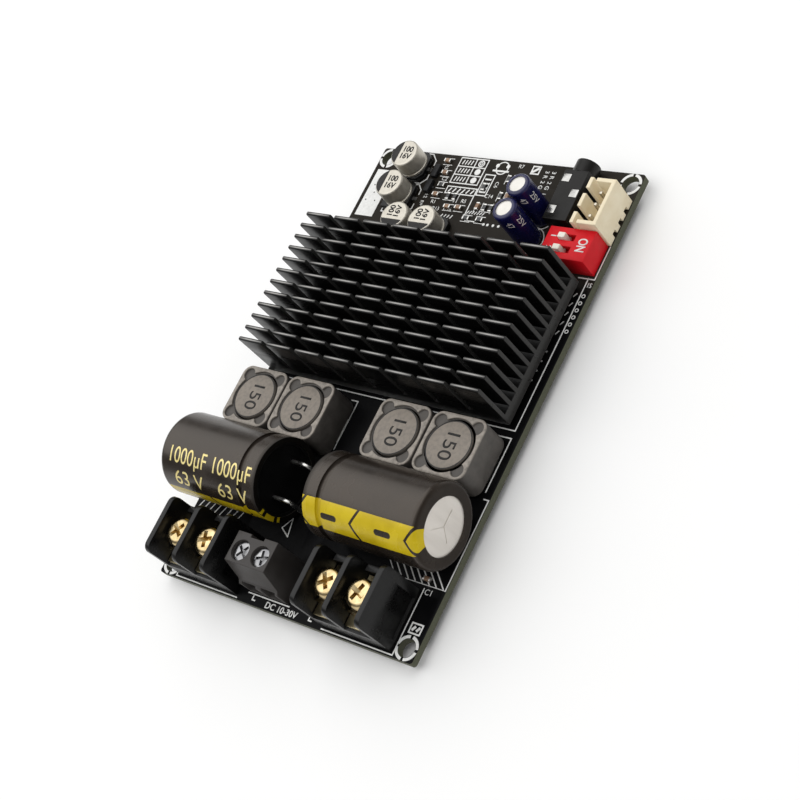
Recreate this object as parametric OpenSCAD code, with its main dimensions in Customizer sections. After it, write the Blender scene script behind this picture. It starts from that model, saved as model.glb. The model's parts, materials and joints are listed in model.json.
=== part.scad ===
// Stereo audio amplifier board: a black circuit board with a finned heatsink
// over the amplifier chip, four shielded output inductors, two large supply
// capacitors laid flat, screw terminals along the front edge, and the signal
// input, gain switch and small parts along the back edge.
// Origin: centre of the mounting holes on the board's underside.
// +X to the right, +Y to the signal input edge, +Z up through the components.

/* [Circuit board] */
// Width of the board
board_w = 65; // [62:0.5:80]
// Thickness of the board
board_t = 1.6; // [1.2:0.1:2.4]
// Radius of the board's corners
board_corner_r = 0.6; // [0.2:0.1:1.5]
// Diameter of the four mounting holes
hole_d = 3.4; // [2.8:0.1:3.8]
// Distance of a mounting hole's centre from both edges
hole_inset = 2.4; // [2.4:0.1:4]
// How far the pins stand out under the board
pin_stub = 1.6; // [1:0.1:2.5]
// Strip of bare board in front of the speaker terminals
front_margin = 0.9; // [0.4:0.1:4]
// Strip of bare board behind the volume header
back_margin = 5.91; // [4:0.01:9]

/* [Heatsink] */
// Length of the heatsink, along its fins
heatsink_w = 60; // [52:0.5:64]
// Depth of the heatsink, across its fins
heatsink_d = 30; // [24:0.5:40]
// Height of the heatsink
heatsink_h = 12; // [8:0.5:25]
// Thickness of the heatsink's base
heatsink_base_t = 2.5; // [1.8:0.1:4]
// Number of fins
fin_count = 12; // [6:1:14]
// Thickness of a fin
fin_t = 0.85; // [0.6:0.05:1.2]
// Number of cuts across the fins
cut_count = 7; // [3:1:9]
// Width of a cut across the fins
cut_w = 1.3; // [0.8:0.1:2]
// Distance between the two screws that hold the heatsink
heatsink_screw_pitch = 48; // [36:0.5:50]

/* [Amplifier chip] */
// Length of the chip's moulded body
chip_w = 14; // [10:0.1:18]
// Width of the chip's moulded body
chip_d = 6.1; // [4:0.1:9]
// Height of the chip
chip_h = 1; // [0.8:0.05:1.6]
// Thickness of the heat pad on the chip
pad_t = 0.5; // [0.3:0.1:1]

/* [Inductors] */
// Side of an inductor
inductor_w = 12; // [9:0.1:13]
// Height of an inductor
inductor_h = 7.3; // [5:0.1:9]
// Gap between two neighbouring inductors
inductor_gap = 0.6; // [0.4:0.1:2]
// Distance of a pair of inductors from the board's middle
inductor_pair_x = 18.3; // [16:0.1:22]

/* [Supply capacitors] */
// Diameter of a supply capacitor in its sleeve
cap_d = 16; // [12:0.5:20]
// Length of a supply capacitor
cap_len = 26; // [18:0.5:27]
// Distance between the two leads of a supply capacitor
cap_lead_pitch = 7.5; // [5:0.1:8]
// Thickness of the shrunk sleeves
sleeve_t = 0.25; // [0.15:0.05:0.4]

/* [Speaker terminals] */
// Distance between two neighbouring terminal screws
barrier_pitch = 7.62; // [7:0.01:9]
// Depth of a terminal block
barrier_d = 11.7; // [10.5:0.1:14]
// Height of the walls between the terminals
barrier_h = 11.5; // [10.5:0.1:14]
// Thickness of the walls between the terminals
barrier_wall = 1.1; // [0.8:0.1:1.4]
// Distance of a terminal block from the board's middle
barrier_x = 19.3; // [18.5:0.1:22]
// Diameter of a terminal screw's head
screw_head_d = 5.6; // [4.8:0.1:6]
// Diameter of a terminal screw's thread
screw_d = 3; // [2.5:0.1:3.5]

/* [Power terminal] */
// Distance between the two poles of the power terminal
dc_pitch = 5.08; // [5:0.01:6]
// Depth of the power terminal
dc_d = 8; // [7.8:0.1:10]
// Height of the power terminal
dc_h = 10; // [9.8:0.1:13]
// Place of the power terminal to the right of the board's middle
dc_x = -3.45; // [-4:0.05:2]

/* [Small capacitors] */
// Diameter of a surface-mounted capacitor's can
smd_d = 6.3; // [5:0.1:6.6]
// Height of a surface-mounted capacitor
smd_h = 5.6; // [5:0.1:8]
// Diameter of an upright capacitor in its sleeve
radial_d = 5; // [4:0.1:6]
// Height of an upright capacitor
radial_h = 11; // [8:0.1:13]

/* [Signal jack] */
// Width of the jack's box
jack_w = 5.4; // [5.3:0.1:7]
// Length of the jack's box
jack_d = 11; // [10:0.1:13]
// Height of the jack's box
jack_h = 5; // [5:0.1:6]
// Diameter of the jack's round nose
jack_nose_d = 4.9; // [4.6:0.1:4.9]
// Length of the jack's round nose
jack_nose_len = 2.8; // [1.5:0.1:4]
// Diameter of the hole for the plug
jack_bore_d = 3.6; // [3.5:0.05:3.7]

/* [Volume header] */
// Width of the header's shroud
header_w = 5.75; // [5.5:0.05:7]
// Length of the header's shroud
header_d = 9.9; // [9.5:0.1:12]
// Height of the header's shroud
header_h = 7; // [6:0.1:9]
// Distance between two header pins
header_pitch = 2.5; // [2:0.01:2.6]

/* [Gain switch] */
// Length of the switch, along its sliders' travel
dip_w = 10.2; // [9.5:0.1:12]
// Width of the switch
dip_d = 6.5; // [6:0.1:8]
// Height of the switch
dip_h = 5; // [4:0.1:6]
// Distance between the two sliders
dip_pitch = 2.54; // [2.4:0.01:2.8]
// Travel of a slider
dip_travel = 1.8; // [1:0.1:2]

/* [Hidden] */
$fn = 48;

// Fits shared by all the pieces
eps = 0.5;          // how far a cut runs past the face that it opens
pin_gap = 0.1;      // clearance of a pin in its hole, on the radius
fit = 0.05;         // clearance of pieces that are pressed or moulded together
slide_gap = 0.12;   // clearance of pieces that slide
along = 0;          // turn of a small part that lies along the board's width
across = 90;        // turn of a small part that lies across it

// Rows of components from the front edge to the back edge
barrier_to_cap = 1.8;
cap_to_inductor = 0.65;
inductor_to_heatsink = 2.25;
heatsink_to_dip = 2.26;
dip_to_header = 0.13;
board_d = front_margin + barrier_d + barrier_to_cap + cap_d + cap_to_inductor + inductor_w
    + inductor_to_heatsink + heatsink_d + heatsink_to_dip + dip_d + dip_to_header + header_d
    + back_margin;
front_y = -board_d / 2;
back_y = board_d / 2;
barrier_front = front_y + front_margin;
cap_y = barrier_front + barrier_d + barrier_to_cap + cap_d / 2;
inductor_y = cap_y + cap_d / 2 + cap_to_inductor + inductor_w / 2;
heatsink_x = 0.4;
heatsink_y = inductor_y + inductor_w / 2 + inductor_to_heatsink + heatsink_d / 2;
heatsink_back = heatsink_y + heatsink_d / 2;
right_x = board_w / 2;
left_x = -board_w / 2;
mount_holes = [for (x = [-1, 1], y = [-1, 1]) [x * (right_x - hole_inset), y * (back_y - hole_inset)]];

// Heatsink
heatsink_z = board_t + chip_h + pad_t;
fin_pitch = (heatsink_d - fin_t) / (fin_count - 1);
segment_w = (heatsink_w - cut_count * cut_w) / (cut_count + 1);
cut_floor = 0.5;            // web that a cross cut leaves above the base
sink_screw_d = 2.9;
sink_screw_head_d = 5.2;
sink_screw_head_h = 1.6;
sink_thread = heatsink_base_t - 0.6;
sink_screws = [for (s = [-1, 1]) [heatsink_x + s * heatsink_screw_pitch / 2, heatsink_y]];

// Amplifier chip
chip_leads = 22;
chip_lead_pitch = (chip_w - 0.6) / (chip_leads - 1);
chip_lead_w = 0.26;
chip_lead_t = 0.2;
chip_lead_reach = 1;
chip_stand = 0.1;           // gap under the moulded body
pad_overhang = 1;

// Inductors
inductor_pitch = inductor_w + inductor_gap;
inductor_xs = [for (s = [-1, 1], k = [-1, 1]) s * inductor_pair_x + k * inductor_pitch / 2];
terminal_t = 0.5;
shield_corner_r = 2;
shield_wall = 0.65;         // wall at the middle of a side, where it is thinnest
shield_pocket = 0.5;        // depth of the four-lobed recess in the top
pocket_r = inductor_w / 2 - shield_wall;
lobe_r = 1.3;
lobe_at = (inductor_w / 2 - shield_corner_r) * sqrt(2) + shield_corner_r - 0.5 - lobe_r;
core_gap = 0.3;
core_r = pocket_r - 2 * core_gap;
core_post_r = core_r * 0.55;
core_flange = 1.3;
core_h = inductor_h - terminal_t;

// Supply capacitors, drawn along their own axis from the closed end
cap_r = cap_d / 2;
cap_end_gap = 0.3;          // from the board's side edge to the closed end
cap_pair_x = 0.3;           // middle of the pair, to the right of the board's middle
cap_lift = 0.1;
can_r = cap_r - sleeve_t;
can_edge_r = 0.8;
groove_at = 3.8;            // from the lead end to the middle of the crimp groove
groove_r = 0.95;
groove_out = 0.25;          // centre of the groove's circle outside the can
sleeve_window_r = cap_r * 0.67;
sleeve_rear_r = cap_r * 0.88;
seal_r = cap_r * 0.81;
seal_t = 2.6;
seal_sunk = 0.5;
lead_r = 0.4;
lead_share = 0.55;          // how far the leads reach towards the pair's middle
lead_bend_r = 1.2;
vent_depth = 0.1;
vent_w = 0.25;
cap_axis_z = board_t + cap_lift + cap_r;
cap_closed_x = left_x + cap_end_gap;
cap_half_gap = -(cap_closed_x + cap_len);
lead_out = lead_share * cap_half_gap;
cap_lead_x = cap_half_gap - lead_out;
cap_leads = [for (s = [-1, 1], k = [-1, 1])
    [cap_pair_x + s * cap_lead_x, cap_y + k * cap_lead_pitch / 2]];

// Speaker terminals, drawn from the front edge and the board's top face
bays = 2;
barrier_w = bays * barrier_pitch + barrier_wall;
barrier_base_h = 4.6;
barrier_back_wall = 1.2;
barrier_back_h = 6.8;
barrier_round = 1.6;        // radius of a wall's upper corners
barrier_recess = 0.5;       // depth of the recess in the outer face
barrier_recess_h = 6.1;
barrier_rim = 1.8;          // width of the face around the recess
contact_t = 0.8;
contact_w = barrier_pitch - barrier_wall - 0.4;
contact_front = 0.6;
contact_d = barrier_d - barrier_back_wall - contact_front - 0.2;
contact_pin_r = 0.6;
contact_pin_y = barrier_d - barrier_back_wall - 1.7;
screw_y = barrier_d / 2;
screw_r = screw_d / 2;
screw_head_h = 1.9;
screw_dome_r = 4;
screw_len = 6.2;            // thread below the head
screw_head_z = 8.1;         // underside of the head, above the board
lock_washer_t = 0.9;
lock_washer_split = 0.5;
clamp_w = contact_w - 0.3;
clamp_d = 6.4;
clamp_t = 0.8;
clamp_lip = 0.5;            // height of the upturned front and back edges
clamp_lip_t = 0.5;
well_floor = 0.6;
barrier_bays = [for (s = [-1, 1], k = [-0.5, 0.5]) s * barrier_x + k * barrier_pitch];
barrier_pins = [for (x = barrier_bays) [x, barrier_front + contact_pin_y]];

// Power terminal, drawn from its front face and the board's top face
dc_w = 2 * dc_pitch;
dc_margin = 2.4;            // strip of bare board in front
dc_front = front_y + dc_margin;
dc_lip_h = 3.7;             // top of the upright front face
dc_lip_y = 0.75;
dc_lip_rise = 0.8;
dc_slope_y = 2.05;          // front of the top face
dc_screw_y = 4.6;
dc_head_r = 1.9;
dc_head_sunk = 0.7;
dc_head_h = 1.65;
dc_shank_r = 1.25;
dc_ledge_t = 0.6;
dc_ledge_z = dc_h - dc_head_sunk - dc_head_h - dc_ledge_t;
dc_cavity_w = dc_pitch - 0.88;
dc_cavity_front = 2.2;
dc_back_wall = 0.8;
dc_entry_w = dc_cavity_w - 0.6;
dc_entry_z = 0.9;
dc_entry_h = 3.2;
dc_notch_w = 3.4;
dc_notch_d = 0.6;
cage_w = dc_cavity_w - 2 * slide_gap;
cage_d = 3.8;
cage_t = 0.5;
cage_z = 0.6;
cage_h = 5;
dc_bar_w = cage_w - 2 * cage_t - 0.6;
dc_bar_t = 0.6;
dc_bar_z = 3.9;
dc_post_t = 0.4;
dc_post_y = dc_d - dc_back_wall - 0.1 - dc_post_t;
dc_tip_z = dc_bar_z + dc_bar_t + 0.2;
dc_pin_r = 0.45;
dc_poles = [for (k = [-0.5, 0.5]) dc_x + k * dc_pitch];
dc_pin_places = [for (x = dc_poles) [x, dc_front + dc_post_y + dc_post_t / 2]];

// Surface-mounted capacitors: two at the left edge, two behind the heatsink
smd_base = smd_d + 0.3;
smd_base_h = 1.4;
smd_foot_t = 0.15;
smd_foot_w = 0.8;
smd_foot_out = 0.6;
smd_edge_r = 0.45;
smd_groove_r = 0.35;
smd_corner = 1.3;
smd_pitch = smd_base + 0.55;
smd_edge_x = 11.2;          // from the board's side edge to the first can
smd_edge_y = 4.1;           // from the board's back edge to the first can
smd_row_gap = 3;            // from the heatsink to the second pair
smd_row_step = 5.5;
smd_left = left_x + smd_edge_x;
smd_back = back_y - smd_edge_y;
smd_row_x = smd_left + smd_row_step;
smd_row_y = heatsink_back + smd_base / 2 + smd_row_gap;
// Place of each one, and the angle of the line through its two feet
smd_places = [[smd_left, smd_back, along], [smd_left, smd_back - smd_pitch, along],
    [smd_row_x, smd_row_y, across], [smd_row_x + smd_pitch, smd_row_y, across]];

// Gain switch and volume header in the back right corner
dip_edge = 0.7;             // from the board's side edge
dip_x = right_x - dip_edge - dip_w / 2;
dip_y = heatsink_back + heatsink_to_dip + dip_d / 2;
dip_slider_len = 1.5;
dip_slider_w = 1.1;
dip_slider_up = 0.8;        // how far a slider stands above the body
dip_foot_w = 1.6;
dip_skin = 0.9;             // thickness of the body above the sliders' feet
dip_foot_h = 1;
dip_slot_end = 2.8;         // body left of the slots
dip_pin_r = 0.28;
dip_pin_in = 1;             // how far a pin goes up into the body
dip_slot_len = dip_slider_len + dip_travel + 2 * slide_gap;
dip_slider_x = dip_x - dip_w / 2 + dip_slot_end + slide_gap;
dip_slider_ys = [for (k = [0.5, -0.5]) dip_y + k * dip_pitch];
dip_pin_places = [for (s = [-1, 1], y = dip_slider_ys) [dip_x + s * (dip_w / 2 - 1.4), y]];
header_edge = 0.2;          // from the board's side edge
header_x = right_x - header_edge - header_w / 2;
header_y = dip_y + dip_d / 2 + dip_to_header + header_d / 2;
header_wall = 0.8;
header_floor = 1.6;
header_slot = 1.2;          // the two openings of the inner wall
header_slot_at = 2;
header_end_slot = 0.7;      // the openings of the end walls, beside the inner wall
header_notch = 1.1;         // the three notches at the foot of the outer wall
header_notch_in = 2.2;
header_pin_w = 0.64;
header_pin_h = 6;
header_pin_places = [for (k = [-1, 0, 1]) [header_x, header_y + k * header_pitch]];

// Signal jack beside the header, with its nose at the back edge
jack_to_header = 2.5;
jack_edge = 3.6;            // from the board's back edge to the box
jack_x = header_x - header_w / 2 - jack_to_header - jack_w / 2;
jack_back = back_y - jack_edge;
jack_y = jack_back - jack_d / 2;
jack_axis_z = jack_h / 2;
jack_bore_in = 8.6;         // how far the hole goes into the box
jack_bore_len = jack_nose_len + jack_bore_in;
jack_pad = 1.7;
jack_pad_t = 0.15;
jack_leg_t = 0.25;
jack_leg_w = 0.9;
jack_leg_in = 0.25;         // skin of the box outside a leg
jack_pin_r = 0.4;
jack_pad_steps = [1.8, 5, 8.8];
// Place of each contact pad along the box, and its side
jack_pads = [for (k = [0:2]) [jack_back - jack_pad_steps[k], k == 1 ? 1 : -1]];
jack_pin_places = [for (p = jack_pads)
    [jack_x + p[1] * (jack_w / 2 - jack_leg_in - jack_leg_t / 2), p[0]]];

// Upright capacitors beside the jack
radial_gap = 0.4;
radial_window_r = radial_d * 0.34;
radial_lead_pitch = 2;
radial_lead_r = 0.25;
radial_lift = 0.3;
radial_edge_r = 0.4;
radial_to_jack = 1.45;
radial_step = 7.9;          // from the back of the jack's box
radial_skew = 0.3;
radial_x = jack_x - jack_w / 2 - radial_to_jack - radial_d / 2;
radial_y = jack_back - radial_step;
radial_places = [[radial_x, radial_y], [radial_x - radial_skew, radial_y - radial_d - radial_gap]];
radial_leads = [for (p = radial_places, k = [-1, 1]) p + [k * radial_lead_pitch / 2, 0]];

// Small chip parts: place behind the heatsink, then turned or not
chip_len = 1.6;
chip_part_w = 0.8;
chip_cap_h = 0.75;
chip_res_h = 0.45;
chip_end = 0.3;
rear = [left_x, heatsink_back];
front_right = [right_x, barrier_front + barrier_d];
chip_cap_places = [
    [rear + [18.3, 23], along], [rear + [19.1, 20.2], along], [rear + [19.5, 15], along],
    [rear + [23.9, 12.5], along], [rear + [26.7, 12.6], along], [rear + [37, 20.4], across],
    [rear + [37, 16.4], across], [rear + [31.2, 13.4], across],
    [front_right + [-4.6, 2.2], along]
];
chip_res_places = [
    [rear + [19.5, 17.4], along], [rear + [22.6, 15], across], [rear + [24.4, 15], across],
    [rear + [30.2, 18], across], [rear + [32.8, 13.4], across], [rear + [34.4, 13.4], across],
    [rear + [36, 13.4], across], [rear + [29.6, 10.6], along], [rear + [33, 10.6], along],
    [rear + [35.2, 20.4], across], [rear + [35.2, 16.4], across]
];
transistor_w = 2.9;
transistor_d = 1.3;
transistor_h = 1;
transistor_places = [rear + [16.8, 20.2], rear + [16.8, 16.6]];

// Every hole for a pin: place and radius of the pin
pin_holes = concat(
    [for (p = barrier_pins) [p.x, p.y, contact_pin_r]], [for (p = cap_leads) [p.x, p.y, lead_r]],
    [for (p = dc_pin_places) [p.x, p.y, dc_pin_r]], [for (p = dip_pin_places) [p.x, p.y, dip_pin_r]],
    [for (p = header_pin_places) [p.x, p.y, header_pin_w * sqrt(0.5)]],
    [for (p = jack_pin_places) [p.x, p.y, jack_pin_r]], [for (p = radial_leads) [p.x, p.y, radial_lead_r]],
    [for (p = sink_screws) [p.x, p.y, sink_screw_d / 2]]
);

// Shared shapes

module block(size, place = [0, 0, 0]) {
    // A box centred in X and Y on its place, standing on it
    translate([place.x - size.x / 2, place.y - size.y / 2, place.z]) cube(size);
}

module rounded_square(w, d, r) {
    square([w - 2 * r, d], center = true);
    square([w, d - 2 * r], center = true);
    for (x = [-1, 1], y = [-1, 1]) translate([x * (w / 2 - r), y * (d / 2 - r)]) circle(r = r);
}

module round_can_profile(r, length, edge) {
    // Half section of a can whose first end has a rounded edge
    translate([0, edge]) square([r, length - edge]);
    square([r - edge, length]);
    intersection() {
        translate([r - edge, edge]) circle(r = edge);
        square([r, length]);
    }
}

module cross_recess(reach, w, depth, top) {
    for (a = [0, 90]) rotate(a) block([reach, w, depth + eps], [0, 0, top - depth]);
}

module through_pin(r, top) {
    // A round pin from below the board up to a height above its underside
    translate([0, 0, -pin_stub]) cylinder(r = r, h = pin_stub + top);
}

// Board, heatsink and chip

module pcb() {
    color("#17191b") linear_extrude(board_t) difference() {
        rounded_square(board_w, board_d, board_corner_r);
        for (p = mount_holes) translate(p) circle(d = hole_d);
        for (p = pin_holes) translate([p.x, p.y]) circle(r = p[2] + pin_gap);
    }
}

module heatsink() {
    gap = fin_pitch - fin_t;
    color("#1d1d1f") translate([heatsink_x, heatsink_y, heatsink_z]) difference() {
        block([heatsink_w, heatsink_d, heatsink_h]);
        for (k = [0:fin_count - 2])
            block([heatsink_w + 2 * eps, gap, heatsink_h],
                [0, -heatsink_d / 2 + fin_t + gap / 2 + k * fin_pitch, heatsink_base_t]);
        for (k = [1:cut_count])
            block([cut_w, heatsink_d + 2 * eps, heatsink_h],
                [-heatsink_w / 2 + k * (segment_w + cut_w) - cut_w / 2, 0, heatsink_base_t + cut_floor]);
        for (s = [-1, 1]) translate([s * heatsink_screw_pitch / 2, 0, -eps])
            cylinder(d = sink_screw_d + 2 * fit, h = sink_thread + eps);
    }
}

module heatsink_screws() {
    color("#a9abad") for (p = sink_screws) translate(p) difference() {
        union() {
            translate([0, 0, -sink_screw_head_h]) cylinder(d = sink_screw_head_d, h = sink_screw_head_h);
            cylinder(d = sink_screw_d, h = heatsink_z + sink_thread - 0.2);
        }
        translate([0, 0, -sink_screw_head_h]) mirror([0, 0, 1])
            cross_recess(sink_screw_head_d * 0.55, 0.8, 1, 0);
    }
}

module amplifier_chip() {
    knee = chip_h / 2;
    color("#2a2a2c") translate([heatsink_x, heatsink_y, board_t]) {
        block([chip_w, chip_d, chip_h - chip_stand], [0, 0, chip_stand]);
        for (s = [0, 180], k = [0:chip_leads - 1]) rotate(s)
            translate([(k - (chip_leads - 1) / 2) * chip_lead_pitch - chip_lead_w / 2, chip_d / 2, 0])
                rotate([90, 0, 90]) linear_extrude(chip_lead_w) polygon([
                    [-chip_stand, knee], [0.3, knee], [0.5, 0], [chip_lead_reach, 0],
                    [chip_lead_reach, chip_lead_t], [0.65, chip_lead_t],
                    [0.45, knee + chip_lead_t], [-chip_stand, knee + chip_lead_t]
                ]);
    }
}

module thermal_pad() {
    color("#8f9499") translate([heatsink_x, heatsink_y, board_t + chip_h])
        block([chip_w + pad_overhang, chip_d + pad_overhang, pad_t]);
}

// Inductors

module inductor_shield(i) {
    h = inductor_h - terminal_t;
    color("#75716c") translate([inductor_xs[i], inductor_y, board_t + terminal_t]) difference() {
        linear_extrude(h) rounded_square(inductor_w, inductor_w, shield_corner_r);
        translate([0, 0, -eps]) cylinder(r = core_r + core_gap, h = h + 2 * eps);
        translate([0, 0, h - shield_pocket]) linear_extrude(shield_pocket + eps) {
            circle(r = pocket_r);
            for (a = [45:90:315]) rotate(a) translate([lobe_at, 0]) circle(r = lobe_r);
        }
    }
}

module inductor_core(i) {
    color("#8a857f") translate([inductor_xs[i], inductor_y, board_t + terminal_t]) {
        cylinder(r = core_r, h = core_flange);
        cylinder(r = core_post_r, h = core_h);
        translate([0, 0, core_h - core_flange]) cylinder(r = core_r, h = core_flange);
    }
}

module inductor_windings() {
    h = core_h - 2 * core_flange - 2 * fit;
    color("#b06a3a") for (x = inductor_xs)
        translate([x, inductor_y, board_t + terminal_t + core_flange + fit]) difference() {
            cylinder(r = core_r - core_gap, h = h);
            translate([0, 0, -eps]) cylinder(r = core_post_r + fit, h = h + 2 * eps);
        }
}

module inductor_terminals() {
    inner = core_r * 0.5;
    outer = inductor_w / 2 - 0.3;
    color("#c9cbcc") for (x = inductor_xs, s = [-1, 1])
        block([outer - inner, inductor_w * 0.42, terminal_t],
            [x + s * (inner + outer) / 2, inductor_y, board_t]);
}

// Supply capacitors

module capacitor_place(side) {
    translate([cap_pair_x, cap_y, cap_axis_z]) mirror([side > 0 ? 1 : 0, 0, 0])
        translate([cap_closed_x, 0, 0]) rotate([0, 90, 0]) children();
}

module groove_section(grow) {
    translate([can_r + groove_out, cap_len - groove_at]) circle(r = groove_r + grow);
}

module capacitor_can(side) {
    body_len = cap_len - 2 * sleeve_t;
    color("#d6d6d3") capacitor_place(side) difference() {
        rotate_extrude() difference() {
            translate([0, sleeve_t]) round_can_profile(can_r, body_len, can_edge_r);
            groove_section(0);
            translate([0, cap_len - seal_t - seal_sunk - fit])
                square([seal_r + fit, seal_t + seal_sunk + eps]);
        }
        for (a = [90, 215, 325]) rotate(a)
            translate([0, -vent_w / 2, sleeve_t - eps])
                cube([sleeve_window_r * 0.62, vent_w, vent_depth + eps]);
    }
}

module capacitor_sleeve(side) {
    color("#26221f") capacitor_place(side) rotate_extrude() difference() {
        round_can_profile(cap_r, cap_len, can_edge_r + sleeve_t);
        groove_section(-sleeve_t);
        difference() {
            translate([0, sleeve_t]) round_can_profile(can_r + fit, cap_len - 2 * sleeve_t, can_edge_r);
            groove_section(-fit);
        }
        translate([0, -eps]) square([sleeve_window_r, 2 * eps]);
        translate([0, cap_len - eps]) square([sleeve_rear_r, 2 * eps]);
    }
}

module capacitor_seal(side) {
    color("#1b1a1a") capacitor_place(side) translate([0, 0, cap_len - seal_sunk - seal_t]) difference() {
        cylinder(r = seal_r, h = seal_t);
        for (k = [-1, 1]) translate([0, k * cap_lead_pitch / 2, -eps])
            cylinder(r = lead_r + fit, h = seal_t + 2 * eps);
    }
}

module capacitor_leads(side) {
    straight = lead_out + seal_sunk + seal_t - lead_bend_r;
    color("#c4c6c7") for (k = [-1, 1]) {
        capacitor_place(side) translate([0, k * cap_lead_pitch / 2, cap_len + lead_out - lead_bend_r]) {
            translate([0, 0, -straight]) cylinder(r = lead_r, h = straight);
            translate([lead_bend_r, 0, 0]) rotate([90, 0, 180])
                rotate_extrude(angle = 90) translate([lead_bend_r, 0]) circle(r = lead_r);
        }
        translate([cap_pair_x + side * cap_lead_x, cap_y + k * cap_lead_pitch / 2, 0])
            through_pin(lead_r, cap_axis_z - lead_bend_r);
    }
}

// Speaker terminals

module barrier_place(side) {
    translate([side * barrier_x, barrier_front, board_t]) children();
}

module barrier_wall_plate() {
    // One wall between the terminals, with its two upper corners rounded
    rotate([90, 0, 90]) linear_extrude(barrier_wall) {
        square([barrier_d, barrier_h - barrier_round]);
        translate([barrier_round, 0]) square([barrier_d - 2 * barrier_round, barrier_h]);
        for (y = [barrier_round, barrier_d - barrier_round])
            translate([y, barrier_h - barrier_round]) circle(r = barrier_round);
    }
}

module barrier_housing(side) {
    color("#1a1a1b") barrier_place(side) difference() {
        union() {
            translate([-barrier_w / 2, 0, 0]) cube([barrier_w, barrier_d, barrier_base_h]);
            translate([-barrier_w / 2, barrier_d - barrier_back_wall, 0])
                cube([barrier_w, barrier_back_wall, barrier_back_h]);
            for (k = [0:bays]) translate([-barrier_w / 2 + k * barrier_pitch, 0, 0]) barrier_wall_plate();
        }
        for (k = [-0.5, 0.5]) translate([k * barrier_pitch, 0, 0]) {
            translate([0, screw_y, well_floor]) cylinder(r = screw_r + 2 * pin_gap, h = barrier_base_h);
            translate([0, contact_pin_y, -eps])
                cylinder(r = contact_pin_r + pin_gap, h = barrier_base_h + 2 * eps);
        }
        translate([barrier_w / 2 - barrier_recess, barrier_rim, well_floor])
            cube([barrier_recess + eps, barrier_d - 2 * barrier_rim, barrier_recess_h - well_floor]);
    }
}

module barrier_contacts(side) {
    color("#b9b3a2") barrier_place(side) for (k = [-0.5, 0.5]) translate([k * barrier_pitch, 0, 0]) {
        difference() {
            block([contact_w, contact_d, contact_t], [0, contact_front + contact_d / 2, barrier_base_h]);
            translate([0, screw_y, barrier_base_h - eps])
                cylinder(r = screw_r + fit, h = contact_t + 2 * eps);
        }
        translate([0, contact_pin_y, -board_t])
            through_pin(contact_pin_r, board_t + barrier_base_h + contact_t / 2);
    }
}

module clamp_washers() {
    z = board_t + barrier_base_h + contact_t;
    color("#c9a961") for (x = barrier_bays) translate([x, barrier_front + screw_y, z]) difference() {
        union() {
            block([clamp_w, clamp_d, clamp_t]);
            for (s = [-1, 1])
                block([clamp_w, clamp_lip_t, clamp_t + clamp_lip], [0, s * (clamp_d - clamp_lip_t) / 2, 0]);
        }
        translate([0, 0, -eps]) cylinder(r = screw_r + 2 * pin_gap, h = clamp_t + 2 * eps);
    }
}

module lock_washer(i) {
    z = board_t + screw_head_z - lock_washer_t;
    color("#b9933f") translate([barrier_bays[i], barrier_front + screw_y, z]) difference() {
        cylinder(d = screw_head_d - 0.6, h = lock_washer_t);
        translate([0, 0, -eps]) cylinder(r = screw_r + fit, h = lock_washer_t + 2 * eps);
        rotate(20) translate([0, -lock_washer_split / 2, -eps])
            cube([screw_head_d, lock_washer_split, lock_washer_t + 2 * eps]);
    }
}

module terminal_screw(i) {
    screw_place = [barrier_bays[i], barrier_front + screw_y, board_t + screw_head_z];
    color("#d8b765") translate(screw_place) difference() {
        union() {
            intersection() {
                cylinder(d = screw_head_d, h = screw_head_h);
                translate([0, 0, screw_head_h - screw_dome_r]) sphere(r = screw_dome_r);
            }
            translate([0, 0, -screw_len]) cylinder(r = screw_r, h = screw_len + 0.5);
        }
        rotate(35) cross_recess(screw_head_d * 0.62, 0.9, 1.2, screw_head_h);
    }
}

// Power terminal

module dc_place() {
    translate([0, dc_front, board_t]) children();
}

module dc_housing() {
    profile = [
        [0, 0], [0, dc_lip_h], [dc_lip_y, dc_lip_h + dc_lip_rise], [dc_slope_y, dc_h], [dc_d, dc_h], [dc_d, 0]
    ];
    cavity_d = dc_d - dc_back_wall - dc_cavity_front;
    color("#55534f") dc_place() difference() {
        translate([dc_x - dc_w / 2, 0, 0]) rotate([90, 0, 90]) linear_extrude(dc_w) polygon(profile);
        for (x = dc_poles) translate([x, 0, 0]) {
            translate([-dc_cavity_w / 2, dc_cavity_front, -eps])
                cube([dc_cavity_w, cavity_d, dc_ledge_z + eps]);
            translate([-dc_entry_w / 2, -eps, dc_entry_z])
                cube([dc_entry_w, dc_cavity_front + 2 * eps, dc_entry_h]);
            translate([0, dc_screw_y, 0]) cylinder(r = dc_shank_r + pin_gap, h = dc_h);
            translate([0, dc_screw_y, dc_ledge_z + dc_ledge_t])
                cylinder(r = dc_head_r + slide_gap, h = dc_h);
        }
        block([dc_notch_w, 2 * dc_notch_d, dc_h], [dc_x, dc_d, dc_h / 2]);
    }
}

module dc_screw(i) {
    z = dc_ledge_z + dc_ledge_t + fit;
    color("#cfd1d3") dc_place() translate([dc_poles[i], dc_screw_y, 0]) difference() {
        union() {
            translate([0, 0, z]) cylinder(r = dc_head_r, h = dc_head_h - fit);
            translate([0, 0, dc_tip_z]) cylinder(r = dc_shank_r, h = z - dc_tip_z + fit);
        }
        rotate(50 - 35 * i) cross_recess(dc_head_r * 1.5, 0.55, 0.8, z + dc_head_h - fit);
    }
}

module dc_cage(i) {
    color("#b6b8ba") dc_place() translate([dc_poles[i], dc_screw_y, cage_z]) difference() {
        block([cage_w, cage_d, cage_h]);
        block([cage_w - 2 * cage_t, cage_d + 2 * eps, cage_h - 2 * cage_t], [0, 0, cage_t]);
        translate([0, 0, cage_h / 2]) cylinder(r = dc_shank_r + fit, h = cage_h);
    }
}

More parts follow.
